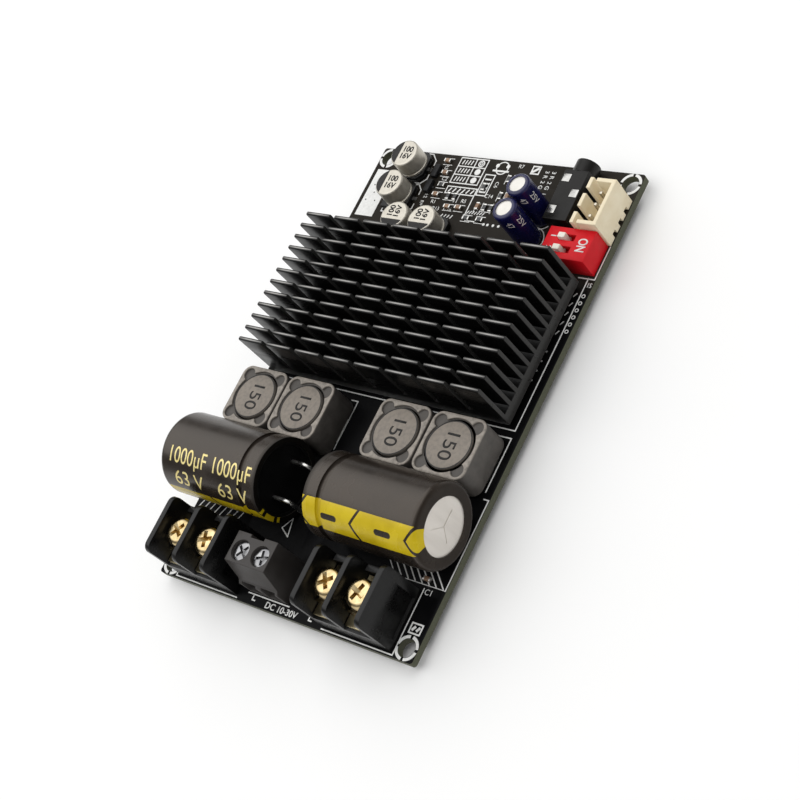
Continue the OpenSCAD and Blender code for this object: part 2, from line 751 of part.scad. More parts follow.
module dc_pins() {
    bar_front = dc_screw_y - cage_d / 2;
    color("#c4c6c7") dc_place() for (x = dc_poles) translate([x, 0, 0]) {
        translate([-dc_bar_w / 2, bar_front, dc_bar_z])
            cube([dc_bar_w, dc_post_y + dc_post_t - bar_front, dc_bar_t]);
        translate([-dc_bar_w / 2, dc_post_y, 0]) cube([dc_bar_w, dc_post_t, dc_bar_z + dc_bar_t]);
        translate([0, dc_post_y + dc_post_t / 2, -board_t]) through_pin(dc_pin_r, board_t);
    }
}

// Surface-mounted and upright capacitors

module smd_capacitor_cans() {
    can_len = smd_h - smd_base_h;
    color("#cfcdc8") for (p = smd_places) translate([p.x, p.y, board_t + smd_h]) mirror([0, 0, 1])
        rotate_extrude() difference() {
            round_can_profile(smd_d / 2, can_len, smd_edge_r);
            translate([smd_d / 2 + smd_groove_r / 2, can_len - 2 * smd_groove_r]) circle(r = smd_groove_r);
        }
}

module smd_capacitor_bases() {
    half = smd_base / 2;
    color("#1c1c1d") for (p = smd_places) translate([p.x, p.y, board_t + smd_foot_t]) rotate(p[2])
        linear_extrude(smd_base_h - smd_foot_t) polygon([
            [-half, -half], [half - smd_corner, -half], [half, smd_corner - half],
            [half, half - smd_corner], [half - smd_corner, half], [-half, half]
        ]);
}

module smd_capacitor_feet() {
    reach = smd_base / 2 + smd_foot_out;
    start = smd_d * 0.16;
    color("#c9cbcc") for (p = smd_places, s = [-1, 1]) translate([p.x, p.y, board_t]) rotate(p[2])
        block([reach - start, smd_foot_w, smd_foot_t], [s * (reach + start) / 2, 0, 0]);
}

module radial_place() {
    for (p = radial_places) translate([p.x, p.y, board_t + radial_h]) mirror([0, 0, 1]) children();
}

module radial_capacitor_cans() {
    r = radial_d / 2 - sleeve_t;
    color("#e6e6e4") radial_place() rotate_extrude()
        translate([0, sleeve_t]) round_can_profile(r, radial_h - radial_lift - 2 * sleeve_t, radial_edge_r);
}

module radial_capacitor_sleeves() {
    r = radial_d / 2;
    sleeve_len = radial_h - radial_lift;
    color("#23256b") radial_place() rotate_extrude() difference() {
        round_can_profile(r, sleeve_len, radial_edge_r + sleeve_t);
        translate([0, sleeve_t])
            round_can_profile(r - sleeve_t + fit, sleeve_len - 2 * sleeve_t, radial_edge_r);
        translate([0, -eps]) square([radial_window_r, 2 * eps]);
        translate([0, sleeve_len - eps]) square([r * 0.75, 2 * eps]);
    }
}

module radial_capacitor_leads() {
    color("#c4c6c7") for (p = radial_leads) translate(p)
        through_pin(radial_lead_r, board_t + radial_lift + sleeve_t);
}

// Signal jack

module jack_housing() {
    leg_slot = jack_leg_t + 2 * fit;
    color("#232325") difference() {
        union() {
            block([jack_w, jack_d, jack_h], [jack_x, jack_y, board_t]);
            translate([jack_x, jack_back - eps, board_t + jack_axis_z]) rotate([-90, 0, 0])
                cylinder(d = jack_nose_d, h = jack_nose_len + eps);
        }
        translate([jack_x, jack_back + jack_nose_len - jack_bore_len, board_t + jack_axis_z])
            rotate([-90, 0, 0]) cylinder(d = jack_bore_d, h = jack_bore_len + eps);
        for (k = [0:len(jack_pads) - 1]) {
            leg = jack_pin_places[k];
            block([leg_slot, jack_leg_w + 2 * fit, jack_h + 2 * eps], [leg.x, leg.y, board_t - eps]);
            pad_x = leg.x - jack_pads[k][1] * (jack_pad - jack_leg_t) / 2;
            block([jack_pad + 2 * fit, jack_pad + 2 * fit, jack_pad_t + fit + eps],
                [pad_x, leg.y, board_t + jack_h - jack_pad_t - fit]);
        }
    }
}

module jack_contacts() {
    color("#d3d3cf") for (k = [0:len(jack_pads) - 1]) {
        leg = jack_pin_places[k];
        block([jack_leg_t, jack_leg_w, jack_h], [leg.x, leg.y, board_t]);
        pad_x = leg.x - jack_pads[k][1] * (jack_pad - jack_leg_t) / 2;
        block([jack_pad, jack_pad, jack_pad_t], [pad_x, leg.y, board_t + jack_h - jack_pad_t]);
        translate(leg) through_pin(jack_pin_r, board_t);
    }
}

// Volume header

module header_shroud() {
    inner_x = header_x - header_w / 2 + header_wall / 2;
    notch_x = header_x + header_w / 2 - header_notch_in / 2;
    end_slot_x = header_x - header_w / 2 + header_wall + header_end_slot / 2;
    color("#e6dcc3") difference() {
        block([header_w, header_d, header_h], [header_x, header_y, board_t]);
        block([header_w - 2 * header_wall, header_d - 2 * header_wall, header_h],
            [header_x, header_y, board_t + header_floor]);
        for (s = [-1, 1]) {
            block([header_wall + 2 * eps, header_slot, header_h],
                [inner_x - eps / 2, header_y + s * header_slot_at, board_t + header_floor]);
            block([header_end_slot, header_wall + 2 * eps, header_h],
                [end_slot_x, header_y + s * (header_d - header_wall) / 2, board_t + header_floor]);
        }
        for (p = header_pin_places) {
            block([header_notch_in + eps, header_notch, header_notch + eps],
                [notch_x + eps / 2, p.y, board_t - eps]);
            block([header_pin_w + 2 * fit, header_pin_w + 2 * fit, header_floor + 2 * eps],
                [p.x, p.y, board_t - eps]);
        }
    }
}

module header_pins() {
    color("#cfcab8") for (p = header_pin_places)
        block([header_pin_w, header_pin_w, pin_stub + board_t + header_pin_h], [p.x, p.y, -pin_stub]);
}

// Gain switch

module dip_body() {
    slot_x = dip_x - dip_w / 2 + dip_slot_end;
    foot_z = dip_h - dip_skin - dip_foot_h;
    color("#c8222c") difference() {
        block([dip_w, dip_d, dip_h], [dip_x, dip_y, board_t]);
        for (y = dip_slider_ys) translate([slot_x, y, board_t]) {
            translate([0, -dip_slider_w / 2 - slide_gap, foot_z])
                cube([dip_slot_len, dip_slider_w + 2 * slide_gap, dip_h]);
            translate([0, -dip_foot_w / 2 - slide_gap, foot_z])
                cube([dip_slot_len, dip_foot_w + 2 * slide_gap, dip_foot_h]);
        }
        for (p = dip_pin_places) translate([p.x, p.y, board_t - eps])
            cylinder(r = dip_pin_r + fit, h = dip_pin_in + eps);
    }
}

module dip_slider(i) {
    foot_z = dip_h - dip_skin - dip_foot_h;
    color("#efece4") translate([dip_slider_x, dip_slider_ys[i], board_t]) {
        translate([0, -dip_foot_w / 2, foot_z + slide_gap])
            cube([dip_slider_len, dip_foot_w, dip_foot_h - 2 * slide_gap]);
        translate([0, -dip_slider_w / 2, foot_z + slide_gap])
            cube([dip_slider_len, dip_slider_w, dip_h + dip_slider_up - foot_z - slide_gap]);
    }
}

module dip_pins() {
    color("#c9cbcc") for (p = dip_pin_places) translate(p) through_pin(dip_pin_r, board_t + dip_pin_in - fit);
}

// Chip parts

module chip_place(place) {
    translate([place[0].x, place[0].y, board_t]) rotate(place[1]) children();
}

module chip_capacitors() {
    color("#a98560") for (place = chip_cap_places) chip_place(place)
        block([chip_len - 2 * chip_end, chip_part_w, chip_cap_h]);
}

module chip_resistors() {
    color("#202022") for (place = chip_res_places) chip_place(place)
        block([chip_len - 2 * chip_end, chip_part_w, chip_res_h]);
}

module chip_terminals() {
    color("#d5d6d7") {
        for (place = chip_cap_places, s = [-1, 1]) chip_place(place)
            block([chip_end, chip_part_w, chip_cap_h], [s * (chip_len - chip_end) / 2, 0, 0]);
        for (place = chip_res_places, s = [-1, 1]) chip_place(place)
            block([chip_end, chip_part_w, chip_res_h], [s * (chip_len - chip_end) / 2, 0, 0]);
    }
}

module small_transistors() {
    leg_t = 0.2;
    leg_out = 0.5;
    color("#232325") for (p = transistor_places) translate([p.x, p.y, board_t]) {
        block([transistor_d, transistor_w, transistor_h - leg_t / 2], [0, 0, leg_t / 2]);
        for (leg = [[-1, -0.95], [-1, 0.95], [1, 0]])
            block([leg_out + 0.4, 0.4, leg_t], [leg.x * (transistor_d / 2 + leg_out / 2 - 0.2), leg.y, 0]);
    }
}

pcb();
heatsink();
heatsink_screws();
amplifier_chip();
thermal_pad();
for (i = [0:3]) {
    inductor_shield(i);
    inductor_core(i);
    lock_washer(i);
    terminal_screw(i);
}
inductor_windings();
inductor_terminals();
for (side = [-1, 1]) {
    name = side < 0 ? "left" : "right";
    capacitor_can(side);
    capacitor_sleeve(side);
    capacitor_seal(side);
    capacitor_leads(side);
    barrier_housing(side);
    barrier_contacts(side);
}
clamp_washers();
dc_housing();
for (i = [0, 1]) {
    dc_screw(i);
    dc_cage(i);
    dip_slider(i);
}
dc_pins();
smd_capacitor_cans();
smd_capacitor_bases();
smd_capacitor_feet();
radial_capacitor_cans();
radial_capacitor_sleeves();
radial_capacitor_leads();
jack_housing();
jack_contacts();
header_shroud();
header_pins();
dip_body();
dip_pins();
chip_capacitors();
chip_resistors();
chip_terminals();
small_transistors();
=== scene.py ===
# %% [markdown]
# # An audio amplifier board
#
# A black circuit board carries a finned heatsink over its amplifier chip, four shielded inductors,
# two large capacitors that lie flat, screw terminals along the front edge, and the signal jack,
# volume header and gain switch along the back edge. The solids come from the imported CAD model, in
# metres and in one shared frame. Here they get rounded edges, real finishes, print, threads and solder.

import json
import math

import bpy
from mathutils import Matrix, Vector

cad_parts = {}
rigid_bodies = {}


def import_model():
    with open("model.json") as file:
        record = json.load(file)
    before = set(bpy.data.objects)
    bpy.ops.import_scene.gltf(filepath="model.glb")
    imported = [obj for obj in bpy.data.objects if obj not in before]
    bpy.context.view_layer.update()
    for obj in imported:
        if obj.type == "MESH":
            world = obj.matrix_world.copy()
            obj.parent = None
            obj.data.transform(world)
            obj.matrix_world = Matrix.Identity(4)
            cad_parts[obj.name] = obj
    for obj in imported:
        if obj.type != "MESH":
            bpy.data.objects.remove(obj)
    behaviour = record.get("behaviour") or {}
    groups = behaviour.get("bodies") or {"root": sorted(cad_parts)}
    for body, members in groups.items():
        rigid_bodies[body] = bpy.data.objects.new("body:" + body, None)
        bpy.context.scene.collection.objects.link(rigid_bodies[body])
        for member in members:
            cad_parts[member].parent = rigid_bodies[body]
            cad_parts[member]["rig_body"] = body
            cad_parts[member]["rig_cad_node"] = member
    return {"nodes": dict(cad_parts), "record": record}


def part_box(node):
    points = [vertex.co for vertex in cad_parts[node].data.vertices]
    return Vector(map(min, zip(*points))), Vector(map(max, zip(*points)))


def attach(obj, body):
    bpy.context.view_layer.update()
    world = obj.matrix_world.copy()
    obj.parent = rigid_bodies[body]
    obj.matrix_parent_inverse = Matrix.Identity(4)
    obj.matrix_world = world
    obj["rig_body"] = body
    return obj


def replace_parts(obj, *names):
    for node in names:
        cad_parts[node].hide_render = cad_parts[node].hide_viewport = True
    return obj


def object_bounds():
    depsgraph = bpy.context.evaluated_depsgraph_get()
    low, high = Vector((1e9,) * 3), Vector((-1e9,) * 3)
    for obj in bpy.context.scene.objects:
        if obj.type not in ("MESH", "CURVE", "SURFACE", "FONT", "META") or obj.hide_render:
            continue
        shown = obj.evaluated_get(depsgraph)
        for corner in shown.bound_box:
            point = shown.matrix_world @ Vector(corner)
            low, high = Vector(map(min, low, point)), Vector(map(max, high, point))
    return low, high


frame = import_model()
cad_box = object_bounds()
nodes = frame["nodes"]
slot_of = {part["node"]: part["material_slot"] for part in frame["record"]["subparts"]}
MM = 0.001

# %% [markdown]
# ## The camera
#
# The picture was taken from the right front corner, from about 45 degrees up, and with the camera
# rolled so that the board seems to stand on its front corner. The numbers below were solved from the
# board's corners, the header, the switch and the heatsink. The lens isn't shifted, so the board stays
# in the middle when the camera moves round to its other sides.

# %% The camera at the photograph's angle
CAMERA_PLACE = (0.20207, -0.08663, 0.22194)
CAMERA_TURNS = (33.854, 30.546, 30.346)
bpy.ops.object.camera_add(location=CAMERA_PLACE,
                          rotation=[math.radians(turn) for turn in CAMERA_TURNS])
camera = bpy.context.object
camera.data.sensor_width = 36
camera.data.lens = 74.152
camera.data.clip_start = 0.01
bpy.context.scene.camera = camera
bpy.context.scene.view_settings.view_transform = "Standard"
print("camera", round(camera.location.length / MM), "mm from the board's middle")

# %% [markdown]
# ## Floor and light
#
# The board lies on a pale table in a pale room. A very large soft lamp hangs above it and leans to the
# left, because the flat-lying capacitors show one broad pale reflection along their tops, which only a
# large source on the side away from the camera can give. Much of what looks grey on the black parts is
# the white table, mirrored in upright faces, so the black finishes need a real gloss. The room is white
# overhead, dark along its walls and grey at the horizon, where it meets the table's own grey. The dark
# wall is mirrored as the dark band along the round capacitors.

# %% The floor
FLOOR_SIZE = 80
deepest = cad_box[0][2]
bpy.ops.object.select_all(action="DESELECT")
bpy.ops.mesh.primitive_plane_add(size=FLOOR_SIZE, location=(0, 0, deepest))
floor = bpy.context.object
floor.name = "floor"
floor_paint = bpy.data.materials.new("pale_table")
floor_paint.use_nodes = True
floor_shader = floor_paint.node_tree.nodes["Principled BSDF"]
floor_shader.inputs["Base Color"].default_value = (0.93, 0.93, 0.925, 1)
floor_shader.inputs["Roughness"].default_value = 0.8
floor_shader.inputs["Specular IOR Level"].default_value = 0.2
floor.data.materials.append(floor_paint)
print("floor at", round(deepest / MM, 2), "mm, under the pins")

# %% The soft lamp, which faces the middle of the board
LAMP_PLACE, LAMP_WIDTH, LAMP_WATTS = Vector((-0.55, 0.25, 1.45)), 3.2, 36
bpy.ops.object.light_add(type="AREA", location=LAMP_PLACE)
lamp = bpy.context.object
lamp.name = "ceiling_lamp"
lamp.rotation_euler = (-LAMP_PLACE).to_track_quat("-Z", "Y").to_euler()
lamp.data.size = LAMP_WIDTH
lamp.data.energy = LAMP_WATTS
print("a lamp of", LAMP_WIDTH, "m,", round(LAMP_PLACE.length, 2), "m from the board")

# %% Node helpers


def feed(tree, socket, value):
    """Sets a socket to a plain value, or links it to another socket."""
    if isinstance(value, bpy.types.NodeSocket):
        tree.links.new(value, socket)
    else:
        socket.default_value = value


def calc(tree, operation, *values):
    """One step of arithmetic on sockets and plain numbers."""
    node = tree.nodes.new("ShaderNodeMath")
    node.operation = operation
    for socket, value in zip(node.inputs, values):
        feed(tree, socket, value)
    return node.outputs[0]


def spread(tree, value, low, high, to_low, to_high):
    """Maps a value from one range to another, and keeps it there."""
    node = tree.nodes.new("ShaderNodeMapRange")
    for name, number in (("Value", value), ("From Min", low), ("From Max", high),
                         ("To Min", to_low), ("To Max", to_high)):
        feed(tree, node.inputs[name], number)
    return node.outputs["Result"]


def place_of(tree, output="Object"):
    return tree.nodes.new("ShaderNodeTexCoord").outputs[output]


def axes(tree, output="Object"):
    """The X, Y and Z of a texture coordinate."""
    parts = tree.nodes.new("ShaderNodeSeparateXYZ")
    tree.links.new(place_of(tree, output), parts.inputs["Vector"])
    return parts.outputs


# %% The room, as it lights the board and as it is seen and mirrored
ROOM_LIGHT, HORIZON, WALL, CEILING = 0.52, 0.47, 0.14, 1.0
world = bpy.data.worlds.new("pale_room")
world.use_nodes = True
room = world.node_tree
rays = room.nodes.new("ShaderNodeLightPath").outputs
seen = calc(room, "MAXIMUM", rays["Is Camera Ray"], rays["Is Glossy Ray"])
seen = calc(room, "MAXIMUM", seen, rays["Is Transmission Ray"])
up = axes(room, "Generated")["Z"]
lower_wall = spread(room, up, 0.06, 0.3, HORIZON, WALL)
upper_wall = spread(room, up, 0.38, 0.7, WALL, CEILING)
seen_light = calc(room, "MAXIMUM", lower_wall, upper_wall)
background = room.nodes["Background"]
background.inputs["Color"].default_value = (1, 1, 1, 1)
room.links.new(spread(room, seen, 0, 1, ROOM_LIGHT, seen_light), background.inputs["Strength"])
bpy.context.scene.world = world
print("a room with", len(room.nodes), "nodes")

# %% [markdown]
# ## Helpers for working by hand in code
#
# An operator acts on whatever is selected, so each helper first selects exactly what it needs.
# Faces are picked by their place or direction, as one would click them.

# %% Selecting, applying and joining


def pick(*objects):
    """Selects these objects alone, and makes the first one active."""
    if bpy.context.mode != "OBJECT":
        bpy.ops.object.mode_set(mode="OBJECT")
    bpy.ops.object.select_all(action="DESELECT")
    for obj in objects:
        obj.select_set(True)
    bpy.context.view_layer.objects.active = objects[0]


def edit_faces(obj, test):
    """Opens a mesh for editing with the faces selected that pass the test."""
    pick(obj)
    bpy.ops.object.mode_set(mode="EDIT")
    bpy.ops.mesh.select_mode(type="FACE")
    bpy.ops.mesh.select_all(action="DESELECT")
    bpy.ops.object.mode_set(mode="OBJECT")
    for face in obj.data.polygons:
        face.select = test(face)
    bpy.ops.object.mode_set(mode="EDIT")


def close_edit():
    bpy.ops.object.mode_set(mode="OBJECT")


def settle(obj):
    """Moves an object's place, turn and size into its mesh."""
    pick(obj)
    bpy.ops.object.transform_apply(location=True, rotation=True, scale=True)
    return obj


def smooth(obj, angle=35):
    """Shades smoothly across the edges that turn by less than this angle."""
    pick(obj)
    bpy.ops.object.shade_smooth_by_angle(angle=math.radians(angle))


def add_modifier(obj, kind, **settings):
    """Adds a modifier and applies it."""
    pick(obj)
    modifier = obj.modifiers.new(kind.lower(), kind)
    for name, value in settings.items():
        setattr(modifier, name, value)
    bpy.ops.object.modifier_apply(modifier=modifier.name)
    return obj


def join(pieces):
    """One object from several, with its place in its mesh."""
    pick(*pieces)
    if len(pieces) > 1:
        bpy.ops.object.join()
    return settle(bpy.context.object)


def copy_of(obj):
    pick(obj)
    bpy.ops.object.duplicate()
    return bpy.context.object


def hand_over(piece, name, finish, body="board"):
    """Names a finished piece, gives it its finish and lets it ride on its body."""
    piece.name = name
    piece.data.name = name
    piece.data.materials.clear()
    piece.data.materials.append(finish)
    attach(piece, body)
    return piece


# %% [markdown]
# ## Finishes
#
# Every finish starts from one recipe: two close tones that drift into each other, a gloss that
# follows the same drift, and a fine grain as bump. All patterns read Object coordinates, in metres,
# so a scale of 1000 gives spots of about a millimetre.

# %% Nodes that the finishes share


def new_finish(name):
    material = bpy.data.materials.new(name)
    material.use_nodes = True
    return material, material.node_tree, material.node_tree.nodes["Principled BSDF"]


def cloud(tree, scale, detail=3.0, stretch=(1, 1, 1)):
    """A noise in Object coordinates, stretched along the axes."""
    mapping = tree.nodes.new("ShaderNodeMapping")
    mapping.inputs["Scale"].default_value = stretch
    noise = tree.nodes.new("ShaderNodeTexNoise")
    noise.inputs["Scale"].default_value = scale
    noise.inputs["Detail"].default_value = detail
    tree.links.new(place_of(tree), mapping.inputs["Vector"])
    tree.links.new(mapping.outputs["Vector"], noise.inputs["Vector"])
    return noise.outputs["Fac"]


def patches(tree, scale, detail=4.0, stretch=(1, 1, 1)):
    """The same noise with more contrast, from 0 to 1."""
    return spread(tree, cloud(tree, scale, detail, stretch), 0.3, 0.7, 0, 1)


def tones(tree, factor, first, second):
    """Mixes two colours, each a tuple or a socket."""
    node = tree.nodes.new("ShaderNodeMix")
    node.data_type = "RGBA"
    tree.links.new(factor, node.inputs["Factor"])
    colour_sockets = [socket for socket in node.inputs if socket.type == "RGBA"]
    for socket, colour in zip(colour_sockets, (first, second)):
        feed(tree, socket, (*colour, 1) if isinstance(colour, tuple) else colour)
    return [socket for socket in node.outputs if socket.type == "RGBA"][0]


def grained(tree, shader, height, strength):
    """Bump from a height that varies by a tenth of a millimetre."""
    bump = tree.nodes.new("ShaderNodeBump")
    bump.inputs["Strength"].default_value = strength
    bump.inputs["Distance"].default_value = 0.1 * MM
    tree.links.new(height, bump.inputs["Height"])
    tree.links.new(bump.outputs["Normal"], shader.inputs["Normal"])


def plain_finish(name, dark, light, gloss, metallic=0.0, specular=0.5, patch=300, grain=6000, bump=0.15,
                 stretch=(1, 1, 1)):
    """The shared recipe: drifting tones, drifting gloss and a fine grain."""
    material, tree, shader = new_finish(name)
    drift = patches(tree, patch, stretch=stretch)
    tree.links.new(tones(tree, drift, dark, light), shader.inputs["Base Color"])
    tree.links.new(spread(tree, drift, 0, 1, *gloss), shader.inputs["Roughness"])
    shader.inputs["Metallic"].default_value = metallic
    shader.inputs["Specular IOR Level"].default_value = specular
    grained(tree, shader, cloud(tree, grain, 2, stretch), bump)
    return material


# %% [markdown]
# The moulded, plated, coated and printed parts differ only in tone, gloss and grain, so one table
# holds them: the dark tone, the light tone, the roughness from and to, and what else differs from the
# recipe. Metals have drawn-out grain, moulded plastics a fine leathery one.

# %% Finishes of the moulded, plated and printed parts
METAL = {"metallic": 1.0}
FINE_METAL = {"metallic": 1.0, "patch": 900}
PLAIN = {
    "zinc_steel": ((0.42, 0.43, 0.44), (0.6, 0.6, 0.6), (0.25, 0.4), METAL),
    "screw_zinc": ((0.2, 0.2, 0.21), (0.34, 0.34, 0.34), (0.22, 0.36), FINE_METAL),
    "copper": ((0.55, 0.24, 0.1), (0.7, 0.34, 0.17), (0.25, 0.4), {**METAL, "stretch": (1, 1, 14)}),
    "tin": ((0.5, 0.5, 0.48), (0.68, 0.67, 0.64), (0.22, 0.4), {**METAL, "patch": 700}),
    "pin_tin": ((0.4, 0.37, 0.3), (0.54, 0.5, 0.42), (0.3, 0.45), FINE_METAL),
    "nickel": ((0.3, 0.3, 0.29), (0.5, 0.49, 0.47), (0.16, 0.32), FINE_METAL),
    "plated_brass": ((0.5, 0.42, 0.25), (0.68, 0.58, 0.36), (0.22, 0.4), METAL),
    "gold_steel": ((0.4, 0.3, 0.14), (0.68, 0.54, 0.31), (0.14, 0.3), {**FINE_METAL, "bump": 0.06}),
    "bare_aluminium": ((0.6, 0.58, 0.54), (0.7, 0.68, 0.64), (0.42, 0.52),
                       {"metallic": 0.6, "patch": 500, "stretch": (1, 1, 4)}),
    "can_aluminium": ((0.47, 0.44, 0.38), (0.58, 0.55, 0.48), (0.34, 0.48),
                      {"metallic": 0.7, "stretch": (3, 3, 1)}),
    "black_rubber": ((0.002, 0.002, 0.002), (0.004, 0.004, 0.004), (0.6, 0.75), {"specular": 0.1}),
    "black_plastic": ((0.003, 0.003, 0.003), (0.005, 0.005, 0.005), (0.24, 0.34),
                      {"specular": 0.27, "grain": 9000, "bump": 0.12}),
    "jack_plastic": ((0.004, 0.0037, 0.003), (0.007, 0.0065, 0.0055), (0.32, 0.44),
                     {"specular": 0.2, "grain": 9000}),
    "grey_plastic": ((0.034, 0.03, 0.028), (0.046, 0.042, 0.039), (0.4, 0.55),
                     {"specular": 0.3, "grain": 9000, "bump": 0.2}),
    "chip_plastic": ((0.008, 0.008, 0.009), (0.016, 0.016, 0.017), (0.5, 0.65), {"specular": 0.25}),
    "cream_plastic": ((0.78, 0.67, 0.46), (0.86, 0.77, 0.57), (0.42, 0.55), {"specular": 0.4}),
    "red_plastic": ((0.56, 0.004, 0.01), (0.66, 0.008, 0.016), (0.4, 0.52), {"specular": 0.18}),
    "white_plastic": ((0.76, 0.72, 0.62), (0.86, 0.83, 0.75), (0.4, 0.52), {"specular": 0.4}),
    "blue_sleeve": ((0.005, 0.006, 0.048), (0.009, 0.01, 0.074), (0.2, 0.32), {}),
    "silicone": ((0.36, 0.38, 0.4), (0.46, 0.47, 0.5), (0.6, 0.75), {}),
    "chip_ceramic": ((0.2, 0.11, 0.06), (0.32, 0.2, 0.12), (0.4, 0.55), {"patch": 900}),
    "chip_black": ((0.01, 0.01, 0.01), (0.03, 0.03, 0.03), (0.25, 0.4), {"patch": 900}),
    "white_ink": ((0.72, 0.72, 0.7), (0.86, 0.86, 0.84), (0.6, 0.75), {"specular": 0.3, "patch": 1500}),
    "gold_ink": ((0.75, 0.6, 0.2), (0.9, 0.78, 0.36), (0.3, 0.45), {"metallic": 0.2, "patch": 1200}),
    "dark_ink": ((0.02, 0.02, 0.02), (0.04, 0.038, 0.036), (0.55, 0.7),
                 {"specular": 0.2, "patch": 1200}),
}
finishes = {name: plain_finish(name, dark, light, gloss, **more)
            for name, (dark, light, gloss, more) in PLAIN.items()}
print(len(finishes), "plain finishes")

# %% [markdown]
# The board is glass fibre under a matt black mask. Only its cut edges show the fibre, a dull
# green-grey, so the finish asks which way a face points. Behind the heatsink the black is painted a
# little brown: a painted reflection, which the lamps don't give there.

# %% The board's black mask and its raw edges
REFLECTION_FROM, REFLECTION_TO = 23, 27


def mask_finish():
    material, tree, shader = new_finish("solder_mask")
    drift = patches(tree, 120, 5)
    bare = tones(tree, drift, (0.0025, 0.0025, 0.0028), (0.0055, 0.0056, 0.006))
    # Painted reflection: behind the heatsink the mask is painted a little brown.
    reflection_tint = tones(tree, drift, (0.015, 0.0125, 0.0095), (0.027, 0.0235, 0.019))
    reflection_zone = spread(tree, axes(tree)["Y"], REFLECTION_FROM * MM, REFLECTION_TO * MM, 0, 1)
    mask = tones(tree, reflection_zone, bare, reflection_tint)
    fibre = tones(tree, cloud(tree, 2500, 3, (1, 1, 6)), (0.05, 0.052, 0.036), (0.14, 0.145, 0.1))
    flat = calc(tree, "GREATER_THAN", calc(tree, "ABSOLUTE", axes(tree, "Normal")["Z"]), 0.6)
    tree.links.new(tones(tree, flat, fibre, mask), shader.inputs["Base Color"])
    tree.links.new(spread(tree, drift, 0, 1, 0.42, 0.55), shader.inputs["Roughness"])
    shader.inputs["Specular IOR Level"].default_value = 0.06
    grained(tree, shader, cloud(tree, 1800, 3), 0.12)
    return material


finishes["solder_mask"] = mask_finish()

# %% [markdown]
# The heatsink is an extrusion, dyed black. Its fins show the faint lines of the die along X. The crests
# of the fins, which face the lamp, are painted grey as a painted highlight, and the sawn ends are a
# little greyer. A crest is told by its height and by the way it faces.

# %% The heatsink's black dye
heatsink_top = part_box("heatsink")[1].z
ALONG_X = (0.02, 1, 1)


def dyed_finish():
    material, tree, shader = new_finish("black_anodised")
    lines = patches(tree, 900, 3, ALONG_X)
    dye = tones(tree, lines, (0.002, 0.002, 0.002), (0.0045, 0.0044, 0.0043))
    # Painted highlight: grey painted along the crests where they face up, and a little of it on the
    # ends.
    highlight_and_end_grey = tones(tree, cloud(tree, 1500, 3), (0.28, 0.274, 0.26), (0.42, 0.41, 0.39))
    normal = axes(tree, "Normal")
    lit_top = spread(tree, axes(tree)["Z"], heatsink_top - 0.25 * MM, heatsink_top - 0.05 * MM, 0, 1)
    crest_highlight = calc(tree, "MULTIPLY", lit_top, spread(tree, normal["Z"], 0.97, 0.998, 0, 1))
    endways = calc(tree, "GREATER_THAN", calc(tree, "ABSOLUTE", normal["X"]), 0.8)
    highlight_and_end_mask = calc(tree, "MAXIMUM", crest_highlight, calc(tree, "MULTIPLY", endways, 0.07))
    tree.links.new(tones(tree, highlight_and_end_mask, dye, highlight_and_end_grey), shader.inputs["Base Color"])
    tree.links.new(spread(tree, lines, 0, 1, 0.26, 0.36), shader.inputs["Roughness"])
    shader.inputs["Specular IOR Level"].default_value = 0.22
    grained(tree, shader, cloud(tree, 2500, 2, ALONG_X), 0.1)
    return material


finishes["black_anodised"] = dyed_finish()

# %% [markdown]
# Ferrite is pressed powder: a dull brown-grey with a fine sandy grain. The top is painted paler, as if
# lit, and the darker body tone stands as painted shade on the sides, so the finish brightens towards
# the top.

# %% The inductors' ferrite
ferrite_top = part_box("inductor_shield_1")[1].z


def ferrite_finish(name, dark, light, lit_top_tone):
    material, tree, shader = new_finish(name)
    drift = patches(tree, 600, 5)
    body = tones(tree, drift, dark, light)
    # Painted light: a pale tone painted round the top, in patches, over a body tone kept dark as shade.
    lit_top = spread(tree, axes(tree)["Z"], ferrite_top - 0.4 * MM, ferrite_top - 0.05 * MM, 0, 1)
    lit_top_patches = calc(tree, "MULTIPLY", lit_top, spread(tree, cloud(tree, 1500, 3), 0.25, 0.6, 0.45, 1))
    tree.links.new(tones(tree, lit_top_patches, body, lit_top_tone), shader.inputs["Base Color"])
    tree.links.new(spread(tree, drift, 0, 1, 0.5, 0.66), shader.inputs["Roughness"])
    shader.inputs["Specular IOR Level"].default_value = 0.35
    grained(tree, shader, cloud(tree, 5000, 3), 0.3)
    return material


finishes["ferrite"] = ferrite_finish("ferrite", (0.065, 0.059, 0.053), (0.1, 0.091, 0.082),
                                     (0.34, 0.305, 0.265))
finishes["ferrite_core"] = ferrite_finish("ferrite_core", (0.12, 0.108, 0.096), (0.16, 0.145, 0.13),
                                          (0.25, 0.218, 0.183))

# %% [markdown]
# The big capacitors wear a glossy black-brown sleeve with a printed yellow stripe: slots show which
# lead is negative, and thin dark arrows divide it. The stripe is worked out in the finish from the
# angle round the can and the distance along it, so it also runs over the rounded end, as shrunk film
# does. At the lead end the film is folded over the rubber seal: it is dull, small folds run into it,
# and its last millimetre is painted nearly black as painted shade.

# %% The stripe on the sleeves
REPEAT, ARROW, ARROW_HALF_W, SLOT_HALF, SLOT_R = 12.6 * MM, 2.0 * MM, 0.3 * MM, 1.3 * MM, 0.58 * MM
ARROW_START = 1.2 * MM


def from_lead_end(tree, node, lead_side):
    """The distance along a can, from the end where its leads come out."""
    low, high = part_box(node)
    lead_x = high.x if lead_side > 0 else low.x
    return calc(tree, "MULTIPLY", calc(tree, "SUBTRACT", axes(tree)["X"], lead_x), -lead_side)


